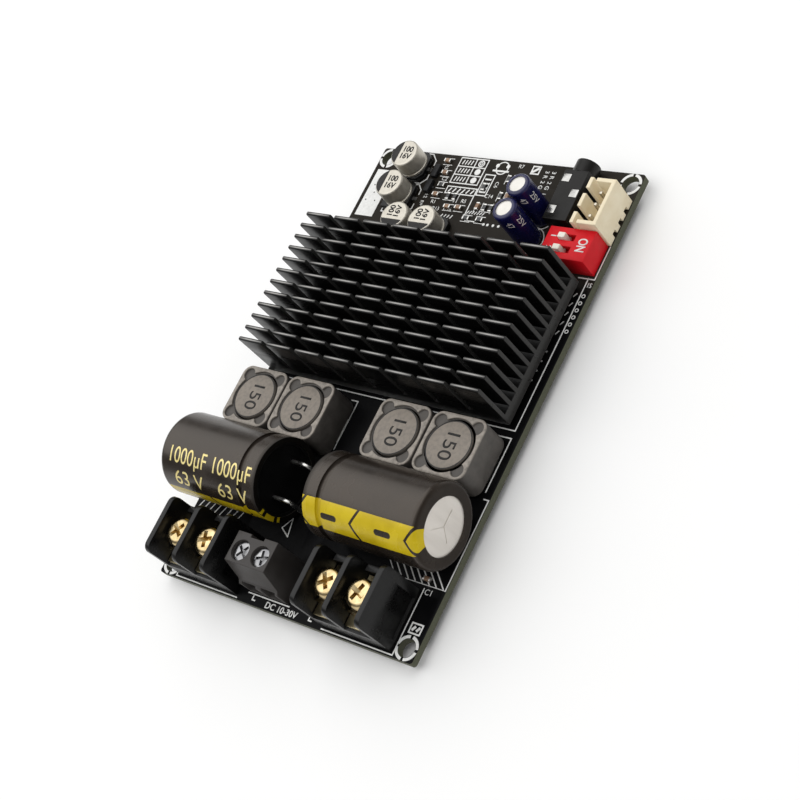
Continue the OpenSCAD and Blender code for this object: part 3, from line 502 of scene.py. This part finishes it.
def stripe(tree, node, along, first, last):
    """1 where the stripe is printed: between two angles, in degrees from straight up to the front."""
    low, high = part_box(node)
    axis, radius = (low + high) / 2, (high.z - low.z) / 2
    middle, half = math.radians((first + last) / 2), math.radians((last - first) / 2)
    place = axes(tree)
    turn = calc(tree, "ARCTAN2", calc(tree, "SUBTRACT", axis.y, place["Y"]),
                calc(tree, "SUBTRACT", place["Z"], axis.z))
    off = calc(tree, "ABSOLUTE", calc(tree, "SUBTRACT", turn, middle))
    inside = calc(tree, "LESS_THAN", off, half)
    bent = calc(tree, "SUBTRACT", along, calc(tree, "MULTIPLY", off, ARROW / half))
    step = calc(tree, "WRAP", calc(tree, "ADD", bent, REPEAT / 2 + ARROW_START), REPEAT, 0)
    from_arrow = calc(tree, "ABSOLUTE", calc(tree, "SUBTRACT", step, REPEAT / 2))
    line = calc(tree, "LESS_THAN", from_arrow, ARROW_HALF_W)
    cell = calc(tree, "SUBTRACT", calc(tree, "WRAP", along, REPEAT, 0), REPEAT / 2)
    run = calc(tree, "MAXIMUM", calc(tree, "SUBTRACT", calc(tree, "ABSOLUTE", cell), SLOT_HALF), 0)
    rise = calc(tree, "MULTIPLY", off, radius)
    squares = calc(tree, "ADD", calc(tree, "POWER", run, 2), calc(tree, "POWER", rise, 2))
    reach = calc(tree, "SQRT", squares)
    dark = calc(tree, "MAXIMUM", line, calc(tree, "LESS_THAN", reach, SLOT_R))
    return calc(tree, "MULTIPLY", inside, calc(tree, "SUBTRACT", 1, dark))


# %% The printed sleeves


def sleeve_finish(name, node, lead_side, first, last):
    material, tree, shader = new_finish(name)
    along = from_lead_end(tree, node, lead_side)
    print_here = stripe(tree, node, along, first, last)
    drift = patches(tree, 200)
    film = tones(tree, drift, (0.016, 0.0122, 0.0095), (0.027, 0.0208, 0.0163))
    yellow = tones(tree, drift, (0.5, 0.36, 0.006), (0.66, 0.5, 0.012))
    # Painted shade: the last millimetre at the lead end is painted nearly black; its dullness is real.
    shaded_fold = spread(tree, along, 0.1 * MM, 1.0 * MM, 1, 0)
    printed = tones(tree, print_here, film, yellow)
    plain = calc(tree, "MULTIPLY", shaded_fold, calc(tree, "SUBTRACT", 1, print_here))
    tree.links.new(tones(tree, plain, printed, (0.004, 0.0035, 0.003)), shader.inputs["Base Color"])
    gloss = calc(tree, "ADD", spread(tree, drift, 0, 1, 0.2, 0.3), calc(tree, "MULTIPLY", shaded_fold, 0.4))
    tree.links.new(gloss, shader.inputs["Roughness"])
    endways = calc(tree, "ABSOLUTE", axes(tree, "Normal")["X"])
    tree.links.new(spread(tree, endways, 0.5, 0.9, 0.5, 0.12), shader.inputs["Specular IOR Level"])
    shader.inputs["Specular Tint"].default_value = (1, 0.9, 0.8, 1)
    near_leads = spread(tree, along, 2 * MM, 6 * MM, 3, 0)
    folds = calc(tree, "MULTIPLY", near_leads, cloud(tree, 500, 3, (0.3, 1, 1)))
    film_grain = calc(tree, "MULTIPLY", cloud(tree, 700, 3), 0.27)
    grained(tree, shader, calc(tree, "ADD", film_grain, folds), 0.3)
    return material


finishes["sleeve_left"] = sleeve_finish("black_sleeve_left", "capacitor_sleeve_left", 1, 76, 118)
finishes["sleeve_right"] = sleeve_finish("black_sleeve_right", "capacitor_sleeve_right", -1, 26, 67)
print("two printed sleeves")

# %% [markdown]
# A can is drawn from aluminium, and its closed end shows in the sleeve's round window: pale, with
# faint straight marks of rolling. At the lead end the black film is folded in over the rim, and the can
# lies in shade inside the sleeve, so the finish turns black there: partly the film, partly painted
# shade.

# %% The aluminium cans


def can_finish(name, node, lead_side):
    material, tree, shader = new_finish(name)
    # Black towards the lead end: partly the folded film, partly painted shade inside the sleeve.
    film = spread(tree, from_lead_end(tree, node, lead_side), 3 * MM, 6 * MM, 1, 0)
    rolled = patches(tree, 500, stretch=(1, 1, 0.15))
    metal = tones(tree, rolled, (0.66, 0.62, 0.57), (0.77, 0.73, 0.68))
    tree.links.new(tones(tree, film, metal, (0.003, 0.003, 0.003)), shader.inputs["Base Color"])
    tree.links.new(spread(tree, film, 0, 1, 0.55, 0), shader.inputs["Metallic"])
    tree.links.new(spread(tree, rolled, 0, 1, 0.42, 0.54), shader.inputs["Roughness"])
    shader.inputs["Specular IOR Level"].default_value = 0.3
    grained(tree, shader, cloud(tree, 3000, 2, (1, 1, 0.1)), 0.1)
    return material


finishes["can_left"] = can_finish("bare_aluminium_left", "capacitor_can_left", 1)
finishes["can_right"] = can_finish("bare_aluminium_right", "capacitor_can_right", -1)

# %% The finishes on their nodes
SPECIAL = {
    "jack_housing": "jack_plastic", "dc_screw_1": "screw_zinc", "dc_screw_2": "screw_zinc",
    "header_pins": "pin_tin", "capacitor_sleeve_left": "sleeve_left",
    "capacitor_sleeve_right": "sleeve_right", "capacitor_can_left": "can_left",
    "capacitor_can_right": "can_right",
}
for name, node in nodes.items():
    node.data.materials.clear()
    node.data.materials.append(finishes[SPECIAL.get(name, slot_of[name])])
print("finishes on", len(nodes), "CAD nodes")

# %% [markdown]
# ## Rounded edges
#
# A moulded or pressed part has no perfectly sharp edge, and the thin bright line along a rounded edge
# is what makes it look solid. A CAD mesh is loose triangles, so a copy is merged, its flat faces are
# dissolved into whole ones, and a bevel rounds every edge that turns by more than 40 degrees. The
# copy then stands for the CAD node.

# %% Copies with rounded edges
SHARP, FLAT = math.radians(40), math.radians(0.5)
CREST_ROUND = 0.3
ROUNDED = {
    "heatsink": 0.1, "dc_housing": 0.16, "header_shroud": 0.12, "dip_body": 0.14, "jack_housing": 0.16,
    "barrier_housing_left": 0.16, "barrier_housing_right": 0.16, "clamp_washers": 0.12,
    "barrier_contacts_left": 0.08, "barrier_contacts_right": 0.08, "smd_capacitor_bases": 0.1,
    "chip_capacitors": 0.05, "chip_resistors": 0.04, "chip_terminals": 0.04, "small_transistors": 0.06,
    "header_pins": 0.12, "jack_contacts": 0.04, "pcb": 0.05,
    "dip_slider_1": 0.1, "dip_slider_2": 0.1, "dc_screw_1": 0.1, "dc_screw_2": 0.1,
}
for family, width in (("inductor_shield", 0.22), ("inductor_core", 0.1), ("lock_washer", 0.08)):
    ROUNDED.update({f"{family}_{k}": width for k in range(1, 5)})


def round_crests(piece):
    """Rounds the long upper edges of the fins, as the die leaves them."""
    edit_faces(piece, lambda face: False)
    bpy.ops.mesh.select_mode(type="EDGE")
    close_edit()
    for edge in piece.data.edges:
        a, b = (piece.data.vertices[i].co for i in edge.vertices)
        edge.select = min(a.z, b.z) > heatsink_top - 0.01 * MM and abs(a.x - b.x) > abs(a.y - b.y)
    bpy.ops.object.mode_set(mode="EDIT")
    bpy.ops.mesh.bevel(offset=CREST_ROUND * MM, segments=3, affect="EDGES")
    close_edit()


def rounded(node, width):
    source = nodes[node]
    piece = copy_of(source)
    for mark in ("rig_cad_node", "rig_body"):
        del piece[mark]
    piece.parent = None
    edit_faces(piece, lambda face: True)
    bpy.ops.mesh.remove_doubles(threshold=1e-6)
    bpy.ops.mesh.dissolve_limited(angle_limit=FLAT)
    close_edit()
    if node == "heatsink":
        round_crests(piece)
    add_modifier(piece, "BEVEL", width=width * MM, segments=2, limit_method="ANGLE", angle_limit=SHARP)
    smooth(piece)
    hand_over(piece, f"{node}_rounded", source.data.materials[0], source["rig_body"])
    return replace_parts(piece, node)


faces = 0
for node, width in ROUNDED.items():
    faces += len(rounded(node, width).data.polygons)
print(len(ROUNDED), "parts with rounded edges,", faces, "faces")

# %% [markdown]
# ## The golden terminal screws
#
# Each speaker terminal has a pan-head screw, half undone, so its thread shows. The head is a cylinder
# with its upper edge bevelled into a dome, and the cross is cut with two tapered bars. The thread is a
# small triangle swept round and up by a Screw modifier. One screw is modelled, then copied.

# %% The head, with its cross
HEAD_R, HEAD_H, DOME = 2.8, 1.9, 1.15
CROSS_LEN, CROSS_W, CROSS_DEPTH = 3.5, 0.9, 1.3


def tapered_bar(turn):
    """A bar that cuts one slot of the cross, narrower at its bottom."""
    bpy.ops.mesh.primitive_cube_add(size=1, location=(0, 0, (HEAD_H - CROSS_DEPTH / 2 + 0.1) * MM))
    bar = bpy.context.object
    bar.scale = (CROSS_LEN * MM, CROSS_W * MM, CROSS_DEPTH * MM)
    settle(bar)
    edit_faces(bar, lambda face: face.normal.z < -0.9)
    bpy.ops.transform.resize(value=(0.3, 0.55, 1), center_override=(0, 0, (HEAD_H - CROSS_DEPTH) * MM))
    close_edit()
    bar.rotation_euler.z = math.radians(turn)
    return settle(bar)


def combine(piece, tool, operation):
    """Cuts or adds a tool to a piece, and removes the tool."""
    add_modifier(piece, "BOOLEAN", operation=operation, object=tool, solver="EXACT")
    bpy.data.objects.remove(tool)


def screw_head():
    bpy.ops.object.select_all(action="DESELECT")
    bpy.ops.mesh.primitive_cylinder_add(vertices=48, radius=HEAD_R * MM, depth=HEAD_H * MM,
                                        location=(0, 0, HEAD_H / 2 * MM))
    head = settle(bpy.context.object)
    edit_faces(head, lambda face: face.normal.z > 0.9)
    bpy.ops.mesh.bevel(offset=DOME * MM, segments=6, profile=0.5, affect="EDGES")
    close_edit()
    for turn in (0, 90):
        combine(head, tapered_bar(turn), "DIFFERENCE")
    return head


# %% The shank and its thread
SHANK_R, SHANK_SUNK, SHANK_TIP = 1.26, 0.4, 0.35
THREAD_R, THREAD_LEN, THREAD_STEP, RIDGE_R, PLAIN_END = 1.48, 6.2, 0.5, 0.27, 0.4


def screw_shank():
    bpy.ops.mesh.primitive_cylinder_add(vertices=32, radius=SHANK_R * MM,
                                        depth=(THREAD_LEN + SHANK_SUNK) * MM,
                                        location=(0, 0, (SHANK_SUNK - THREAD_LEN) / 2 * MM))
    shank = settle(bpy.context.object)
    edit_faces(shank, lambda face: face.normal.z < -0.9)
    bpy.ops.mesh.bevel(offset=SHANK_TIP * MM, segments=2, affect="EDGES")
    close_edit()
    return shank


def screw_thread():
    start = ((THREAD_R - RIDGE_R) * MM, 0, -(THREAD_LEN - PLAIN_END) * MM)
    bpy.ops.mesh.primitive_circle_add(vertices=3, radius=RIDGE_R * MM, location=start,
                                      rotation=(math.pi / 2, 0, -math.pi / 2))
    thread = settle(bpy.context.object)
    add_modifier(thread, "SCREW", axis="Z", angle=2 * math.pi, screw_offset=THREAD_STEP * MM,
                 iterations=int((THREAD_LEN - 2 * PLAIN_END) / THREAD_STEP), steps=24, render_steps=24,
                 use_merge_vertices=False)
    edit_faces(thread, lambda face: False)
    bpy.ops.mesh.select_mode(type="EDGE")
    bpy.ops.mesh.select_non_manifold(extend=False)
    bpy.ops.mesh.fill()
    bpy.ops.mesh.select_all(action="SELECT")
    bpy.ops.mesh.normals_make_consistent(inside=False)
    close_edit()
    return thread


# %% One screw, and four copies that are each turned their own way
head = screw_head()
combine(head, screw_shank(), "UNION")
pattern = join([head, screw_thread()])
smooth(pattern)
print("a screw has", len(pattern.data.polygons), "faces")
for k, turn in enumerate((52, 20, 35, 68), 1):
    node = f"terminal_screw_{k}"
    low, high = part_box(node)
    screw = copy_of(pattern)
    screw.location = ((low.x + high.x) / 2, (low.y + high.y) / 2, high.z - HEAD_H * MM)
    screw.rotation_euler.z = math.radians(turn)
    settle(screw)
    hand_over(screw, f"golden_screw_{k}", finishes["gold_steel"], nodes[node]["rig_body"])
    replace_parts(screw, node)
bpy.data.objects.remove(pattern)

# %% [markdown]
# ## Solder under the board
#
# Every pin goes through the board and stands in a small cone of solder with hollow flanks. A cone is
# added round a pin, cut once across, and drawn in, which gives the hollow flank.

# %% Where the pins end
PIN_NODES = ["barrier_contacts_left", "barrier_contacts_right", "capacitor_leads_left",
             "capacitor_leads_right", "dc_pins", "dip_pins", "header_pins", "jack_contacts",
             "radial_capacitor_leads"]
PIN_REACH = 1.2


def gathered(points, reach):
    """Groups of points that lie close together, measured from the first point of each."""
    groups = []
    for point in points:
        near = [group for group in groups if (group[0] - point).length < reach * MM]
        if near:
            near[0].append(point)
        else:
            groups.append([point])
    return groups


def outline_of(group):
    """The box round a group of points, seen from above."""
    xs, ys = [point.x for point in group], [point.y for point in group]
    return min(xs), min(ys), max(xs), max(ys)


def pin_feet(node):
    """The middle of each pin where it ends under the board."""
    points = [vertex.co.copy() for vertex in nodes[node].data.vertices]
    ends = gathered([point for point in points if point.z <= deepest + 0.1 * MM], PIN_REACH)
    return [Vector(((x0 + x1) / 2, (y0 + y1) / 2, 0)) for x0, y0, x1, y1 in map(outline_of, ends)]


# %% Solder cones on the underside
WIDE_PAD, SMALL_PAD = 1.25, 0.85
CONE_H, CONE_TIP_R, CONE_CUT, CONE_DRAW = 1.15, 0.42, 0.3, 0.78


def solder_cone(foot, pad_r):
    bpy.ops.mesh.primitive_cone_add(vertices=20, radius1=pad_r * MM, radius2=CONE_TIP_R * MM,
                                    depth=CONE_H * MM, location=(foot.x, foot.y, -CONE_H * MM / 2),
                                    rotation=(math.pi, 0, 0))
    cone = settle(bpy.context.object)
    pick(cone)
    bpy.ops.object.mode_set(mode="EDIT")
    bpy.ops.mesh.select_all(action="SELECT")
    bpy.ops.mesh.bisect(plane_co=(0, 0, -CONE_CUT * MM), plane_no=(0, 0, 1))
    bpy.ops.transform.resize(value=(CONE_DRAW, CONE_DRAW, 1),
                             center_override=(foot.x, foot.y, -CONE_CUT * MM))
    close_edit()
    return cone


cones = []
for node in PIN_NODES:
    pad_r = WIDE_PAD if node.startswith(("barrier", "capacitor", "dc")) else SMALL_PAD
    cones += [solder_cone(foot, pad_r) for foot in pin_feet(node)]
solder = join(cones)
smooth(solder, 60)
hand_over(solder, "solder_joints", finishes["tin"])
print(len(cones), "solder joints")

# %% [markdown]
# ## The white print on the board
#
# The board's outlines, dots and labels are silk-screened. Each stroke is a plane, scaled to its length
# and width; rings are discs with their middle removed; words come from text objects made into meshes.
# All are joined and thickened by a few hundredths of a millimetre. Names and part codes are left off.

# %% Strokes, rows of strokes and boxes
board_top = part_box("pcb")[1].z
LINE = 0.24
INK_LEVELS, INK_STEP = 6, 0.002
ink = []


def ink_level():
    """A height that changes a little from mark to mark, so that marks that cross don't coincide."""
    return board_top + len(ink) % INK_LEVELS * INK_STEP * MM


def stroke(x0, y0, x1, y1, width=LINE):
    bpy.ops.mesh.primitive_plane_add(size=1, rotation=(0, 0, math.atan2(y1 - y0, x1 - x0)),
                                     location=((x0 + x1) / 2 * MM, (y0 + y1) / 2 * MM, ink_level()))
    plane = bpy.context.object
    plane.scale = ((math.hypot(x1 - x0, y1 - y0) + width) * MM, width * MM, 1)
    ink.append(plane)


def dashes(count, first, last, step, width):
    """A row of equal strokes, each one step on from the one before."""
    for k in range(count):
        dx, dy = step[0] * k, step[1] * k
        stroke(first[0] + dx, first[1] + dy, last[0] + dx, last[1] + dy, width)


def path(*points, width=LINE):
    for (x0, y0), (x1, y1) in zip(points, points[1:]):
        stroke(x0, y0, x1, y1, width)


def frame_box(x0, y0, x1, y1, width=LINE):
    path((x0, y0), (x1, y0), (x1, y1), (x0, y1), (x0, y0), width=width)


# %% Dots, rings and words
NOTCH = math.radians(16)


def disc(x, y, r, z, corners=16):
    bpy.ops.mesh.primitive_circle_add(vertices=corners, radius=r * MM, fill_type="NGON",
                                      location=(x * MM, y * MM, z))
    return bpy.context.object


def dot(x, y, r):
    ink.append(disc(x, y, r, ink_level()))


def flat_ring(x, y, outer, inner, z, notches=0):
    """A disc whose middle, and as many notches as wanted, are taken out."""
    plate = disc(x, y, outer, z, 48)
    bpy.ops.object.mode_set(mode="EDIT")
    bpy.ops.mesh.inset(thickness=(outer - inner) * MM)
    bpy.ops.mesh.delete(type="FACE")
    close_edit()
    if notches:
        step = 2 * math.pi / notches

        def in_notch(face):
            return (math.atan2(face.center.y, face.center.x) + NOTCH / 2) % step < NOTCH

        edit_faces(plate, in_notch)
        bpy.ops.mesh.delete(type="FACE")
        close_edit()
    return plate


def ring(x, y, outer, inner, notches=0):
    ink.append(flat_ring(x, y, outer, inner, ink_level(), notches))


def words(body, x, y, size, turn=0, z=0.0, narrow=1.0, bold=0.0):
    """A flat word, centred on its place, as a mesh."""
    bpy.ops.object.text_add(location=(x * MM, y * MM, z), rotation=(0, 0, math.radians(turn)))
    text = bpy.context.object
    text.data.body = body
    text.data.size = size * MM
    text.data.align_x = "CENTER"
    text.data.align_y = "CENTER"
    text.data.offset = bold * size * MM
    text.scale.x = narrow
    pick(text)
    bpy.ops.object.convert(target="MESH")
    return bpy.context.object


def label(body, x, y, size, turn=0, narrow=1.0, bold=0.0):
    ink.append(words(body, x, y, size, turn, ink_level(), narrow, bold))


def lay_print(marks, name, finish, thickness=0.02):
    """Joins flat marks, thickens them and hands them over as one piece of print."""
    sheet = add_modifier(join(marks), "SOLIDIFY", thickness=thickness * MM, offset=1)
    return hand_over(sheet, name, finishes[finish])


# %% Outlines round the large parts
for x in (-30.1, 30.1):
    for y in (-47.6, 47.6):
        ring(x, y, 2.36, 1.8, 4)
path((30.85, 27), (30.85, -4.95), (-30.6, -4.95))
path((27.4, -6.5), (30.85, -6.5), (30.85, -17.2))
path((-7.8, -6.5), (-6.2, -6.5), (-6.2, -16.9))
path((-27.4, -6.5), (-30.85, -6.5), (-30.85, -17.2))
path((31.2, -18.6), (32.25, -18.6), (32.25, -36.2))
block_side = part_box("barrier_housing_right")[1].x / MM + 0.45
for side, lean in ((-1, 1.2), (1, 3.0)):
    path((side * block_side, -36.9), (side * block_side, -49.6), (side * 11.0, -49.6))
    path((side * 32.2, -36.2), (side * 19.5, -36.2), width=0.14)
    dashes(8, (side * 20.5, -36.0), (side * (20.5 - lean), -33.2), (side * 1.6, 0), LINE)
path((-8.8, -34.4), (-7.3, -32.1), (-6.5, -35.7), (-8.8, -34.4))
path((-8.7, -47.9), (1.8, -47.9))
path((28.7, 26.9), (32.25, 26.9), (32.25, 34))
label("DC 10-30V", 0.4, -49.05, 1.75, bold=0.02)
for x in (-7.2, 7.4):
    path((x, -48.2), (x, -49), (x + 0.7, -49), width=0.25)
frame_box(28.9, -44.9, 31.3, -43.1, 0.3)
dashes(2, (29.5, -44.2), (29.75, -43.8), (1, 0), 0.5)
label("C1", 29.2, -37.4, 1.5)
label("S1", 31.67, 25.7, 1.35, 180, narrow=0.85, bold=0.02)
print(len(ink), "marks so far")

# %% The mode table and the marks beside it
frame_box(-11.4, 43.6, -4.4, 49.6)
path((-7.35, 43.6), (-7.35, 49.6))
for y in (44.6, 46.6):
    dot(-5.85, y, 0.72)
    stroke(-11.4, y + 1, -4.4, y + 1)
ring(-5.85, 48.6, 0.8, 0.55)
ring(-5.85, 48.6, 0.4, 0.2)
for y in (44.6, 46.6, 48.6):
    dashes(4, (-10.6, y - 0.4), (-10.4, y + 0.4), (0.75, 0), 0.26)
frame_box(-11.3, 41.1, -3.8, 42.7)
dashes(6, (-10.6, 41.55), (-10.2, 42.25), (1.15, 0), 0.3)
frame_box(-3.5, 41.4, -1.1, 46.3)
dashes(4, (-2.9, 42.2), (-1.7, 42.2), (0, 1), 0.35)
path((-3.8, 41.1), (-3.7, 36.1), (-2.9, 35.4), (-0.7, 35.4))
for x in (1.9, 2.9, 4.25, 5.6):
    dot(x, 35.1, 0.3)
dashes(7, (-3.4, 37.1), (-3.1, 37.6), (0.65, 0), 0.22)
for k in range(4):
    stroke(-9.4 + 0.85 * k, 35.5, -9.1 + 0.85 * k, 36.1, 0.25)
    dot(29.2 + 0.08 * k, 5.2 + 2.0 * k, 0.2)
for k in range(6):
    ring(31.55, 15.8 + 1.5 * k, 0.42, 0.24)
dashes(5, (29.55, 15), (29.95, 15.6), (0, 2.0), 0.25)
print(len(ink), "marks so far")

# %% The labels of the small parts and of the jack
LABELS = ((-13.0, 38.7), (-13.1, 44.2), (-14.1, 47.0), (9.0, 34.6), (-5.6, 39.6), (0.2, 44.2),
          (4.0, 48.9), (8.3, 36.9), (-15.9, 38.1), (8.3, 39.2), (7.9, 41.6), (-15.7, 40.3),
          (-11.6, 37.2), (-0.2, 41.4), (5.2, 38.6), (-8.6, 37.4), (4.4, 43.9), (7.9, 44.6))
for row, body in enumerate(("1 L", "2 G", "3 R")):
    for x in (10.6, 12.2):
        label(body, x, 42.9 + 2.4 * row, 1.3, -90, bold=0.01)
frame_box(6.9, 47.6, 8.7, 49.3, 0.3)
stroke(7.3, 48.1, 8.2, 48.8, 0.55)
stroke(-2.2, 47.4, 1.4, 47.4, 0.4)
ring(-0.3, 48.1, 1.55, 1.3)
for x in (-1.7, 0.9):
    dot(x, 48.6, 0.45)
for number, (x, y) in enumerate(LABELS, 1):
    label(f"{'CR'[number % 2]}{number}", x, y, 1.2, 0 if number % 3 else -90, bold=0.01)
print(len(ink), "marks so far")

# %% Outlines round the small parts
CHIP_REACH, CHIP_GAP, CHIP_OVER, CHIP_LINE = 1.5, 0.35, 0.6, 0.15
HEATSINK_BACK = 26
SMD_R, SMD_PITCH, SMD_REACH, SMD_CORNER, SMD_GAP = 3.15, 7.15, 3.75, 1.5, 1.2
LEAD_TO_MIDDLE = 1

for node in ("chip_capacitors", "chip_resistors"):
    for group in gathered([vertex.co.copy() for vertex in nodes[node].data.vertices], CHIP_REACH):
        x0, y0, x1, y1 = (edge / MM for edge in outline_of(group))
        if y0 < HEATSINK_BACK:
            continue
        if x1 - x0 > y1 - y0:
            for y in (y0 - CHIP_GAP, y1 + CHIP_GAP):
                stroke(x0 - CHIP_OVER, y, x1 + CHIP_OVER, y, CHIP_LINE)
        else:
            for x in (x0 - CHIP_GAP, x1 + CHIP_GAP):
                stroke(x, y0 - CHIP_OVER, x, y1 + CHIP_OVER, CHIP_LINE)
radial_middles = [(foot.x / MM + LEAD_TO_MIDDLE, foot.y / MM)
                  for foot in pin_feet("radial_capacitor_leads")[::2]]
for x, y in radial_middles:
    ring(x, y, 2.95, 2.75)
low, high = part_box("smd_capacitor_cans")
left_x, right_x = low.x / MM + SMD_R, high.x / MM - SMD_R
back_y, front_y = high.y / MM - SMD_R, low.y / MM + SMD_R
smd_middles = [(left_x, back_y), (left_x, back_y - SMD_PITCH), (right_x - SMD_PITCH, front_y),
               (right_x, front_y)]
for x, y in smd_middles[:2]:
    for side in (-1, 1):
        path((x - SMD_REACH, y + side * SMD_GAP), (x - SMD_REACH, y + side * SMD_REACH),
             (x + SMD_REACH - SMD_CORNER, y + side * SMD_REACH),
             (x + SMD_REACH, y + side * (SMD_REACH - SMD_CORNER)), (x + SMD_REACH, y + side * SMD_GAP))
print(len(ink), "marks so far")

# %% The pad in the back corner, and the print as one piece
VIA_R, VIA_LIFT = 0.16, 0.045
stroke(-29.1, 35.8, -29.1, 42.3, 4.8)
silk = lay_print(ink, "white_print", "white_ink", 0.03)
via_places = [(-30.6 + 1.25 * k, 37.2 + 1.9 * (k % 2)) for k in range(4)]
via_places += [(-30.2, 40.9), (-27.7, 41.2)]
via_dots = [disc(x, y, VIA_R, board_top + VIA_LIFT * MM) for x, y in via_places]
lay_print(via_dots, "via_dots", "dark_ink", 0.01)
print(len(ink), "marks in the white print,", len(silk.data.polygons), "faces")

# %% [markdown]
# ## Print on the parts
#
# The left capacitor carries its rating twice, in gold. A flat word is cut into thin strips, so that
# it can bend, and a Shrinkwrap modifier lays it on a plain roller as large as the sleeve: the printed
# film spans the crimp groove under it. The blue capacitors' words are wrapped in the same way, and the
# flat-topped parts get flat print; the inductors' cores also get a painted shadow ring.

# %% Wrapping a word round a roller
STRIP, WRAP_GAP = 0.09, 0.02


def roller(place, radius, length, upright=False):
    bpy.ops.object.select_all(action="DESELECT")
    bpy.ops.mesh.primitive_cylinder_add(vertices=128, radius=radius, depth=length, location=place,
                                        rotation=(0, 0 if upright else math.pi / 2, 0))
    return bpy.context.object


def wrap(word, onto, place, turns, size):
    """Cuts a flat word into strips, holds it before the roller and lays it down on it."""
    pick(word)
    bpy.ops.object.mode_set(mode="EDIT")
    for k in range(-4, 5):
        bpy.ops.mesh.select_all(action="SELECT")
        bpy.ops.mesh.bisect(plane_co=(0, k * size * STRIP * MM, 0), plane_no=(0, 1, 0))
    close_edit()
    word.rotation_euler = turns
    word.location = place
    bpy.context.view_layer.update()
    add_modifier(word, "SHRINKWRAP", target=onto, wrap_method="PROJECT", use_project_z=True,
                 use_positive_direction=False, use_negative_direction=True, offset=WRAP_GAP * MM)
    return settle(word)


# %% The ratings on the left capacitor
RATING = (("1000µF", 0, 25, 4.4, 0.81), ("63 V", 0.4, 57, 4.3, 1.0))
low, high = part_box("capacitor_sleeve_left")
can_r = (high.z - low.z) / 2
lying = roller((low + high) / 2, can_r, high.x - low.x)
ratings = []
for x in (-24.2, -12.3):
    for body, shift, turn, size, narrow in RATING:
        a = math.radians(turn)
        place = (low + high) / 2 + Vector((0, -math.sin(a), math.cos(a))) * (can_r + MM)
        place.x = (x + shift) * MM
        ratings.append(wrap(words(body, 0, 0, size, narrow=narrow), lying, place, (a, 0, 0), size))
bpy.data.objects.remove(lying)
lay_print(ratings, "gold_rating", "gold_ink")
print(len(ratings), "words on the left capacitor")

# %% The words on the blue capacitors
BLUE_R, BLUE_SIZE = 2.5, 1.7
low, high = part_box("radial_capacitor_sleeves")
blue_words = []
for x, y in radial_middles:
    standing = roller((x * MM, y * MM, (low.z + high.z) / 2), BLUE_R * MM, high.z - low.z, upright=True)
    for body, turn, down in (("47", -62, 2.6), ("25V", -12, 3.4)):
        cos, sin = math.cos(math.radians(turn)), math.sin(math.radians(turn))
        place = (x * MM + cos * (BLUE_R + 1) * MM, y * MM + sin * (BLUE_R + 1) * MM, high.z - down * MM)
        turns = Matrix(((0, -sin, cos), (0, cos, sin), (-1, 0, 0))).to_euler()
        blue_words.append(wrap(words(body, 0, 0, BLUE_SIZE), standing, place, turns, BLUE_SIZE))
    bpy.data.objects.remove(standing)
lay_print(blue_words, "blue_print", "white_ink")
print(len(blue_words), "words on the blue capacitors")

# %% Marks on the inductors, and a painted shadow round each core
core_marks_and_shadow = []
for k in range(1, 5):
    low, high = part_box(f"inductor_core_{k}")
    x, y, r = (low.x + high.x) / 2 / MM, (low.y + high.y) / 2 / MM, (high.x - low.x) / 2 / MM
    core_marks_and_shadow.append(words("150", x, y, 4.1, -90, high.z, bold=0.004))
    # The dark ring at the core's edge is painted shadow of the gap between core and shield.
    core_marks_and_shadow.append(flat_ring(x, y, r, r - 0.22, high.z))
lay_print(core_marks_and_shadow, "inductor_marks_and_gap_shadow", "dark_ink")
print(len(core_marks_and_shadow), "marks on the inductors")

# %% Marks on the small cans
MOON_RIM, MOON_CUT = 0.3, -1.1
can_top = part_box("smd_capacitor_cans")[1].z
can_marks = []
for k, (x, y) in enumerate(smd_middles):
    turn = 0 if k < 2 else 90
    moon = disc(0, 0, SMD_R - MOON_RIM, 0, 40)
    bpy.ops.object.mode_set(mode="EDIT")
    bpy.ops.mesh.bisect(plane_co=(MOON_CUT * MM, 0, 0), plane_no=(1, 0, 0), clear_outer=True)
    close_edit()
    moon.location = (x * MM, y * MM, can_top)
    moon.rotation_euler.z = math.radians(turn)
    can_marks.append(moon)
    for line, body in enumerate(("100", "16V")):
        shift = Vector((0.7, 0.85 - 1.65 * line, 0))
        shift.rotate(moon.rotation_euler)
        can_marks.append(words(body, x + shift.x, y + shift.y, 1.8, turn, can_top, bold=0.03))
lay_print(can_marks, "can_marks", "dark_ink")
print(len(can_marks), "marks on the small cans")

# %% Marks on the switch
low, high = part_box("dip_body")
switch_marks = [words("ON", high.x / MM - 1.9, (low.y + high.y) / 2 / MM, 2.8, -90, high.z, 0.66, 0.02)]
for k in (1, 2):
    slide_low, slide_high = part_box(f"dip_slider_{k}")
    middle_y = (slide_low.y + slide_high.y) / 2 / MM
    switch_marks.append(words(str(k), low.x / MM + 1.5, middle_y, 1.6, -90, high.z, bold=0.03))
lay_print(switch_marks, "switch_print", "white_ink")
print(len(switch_marks), "marks on the switch")
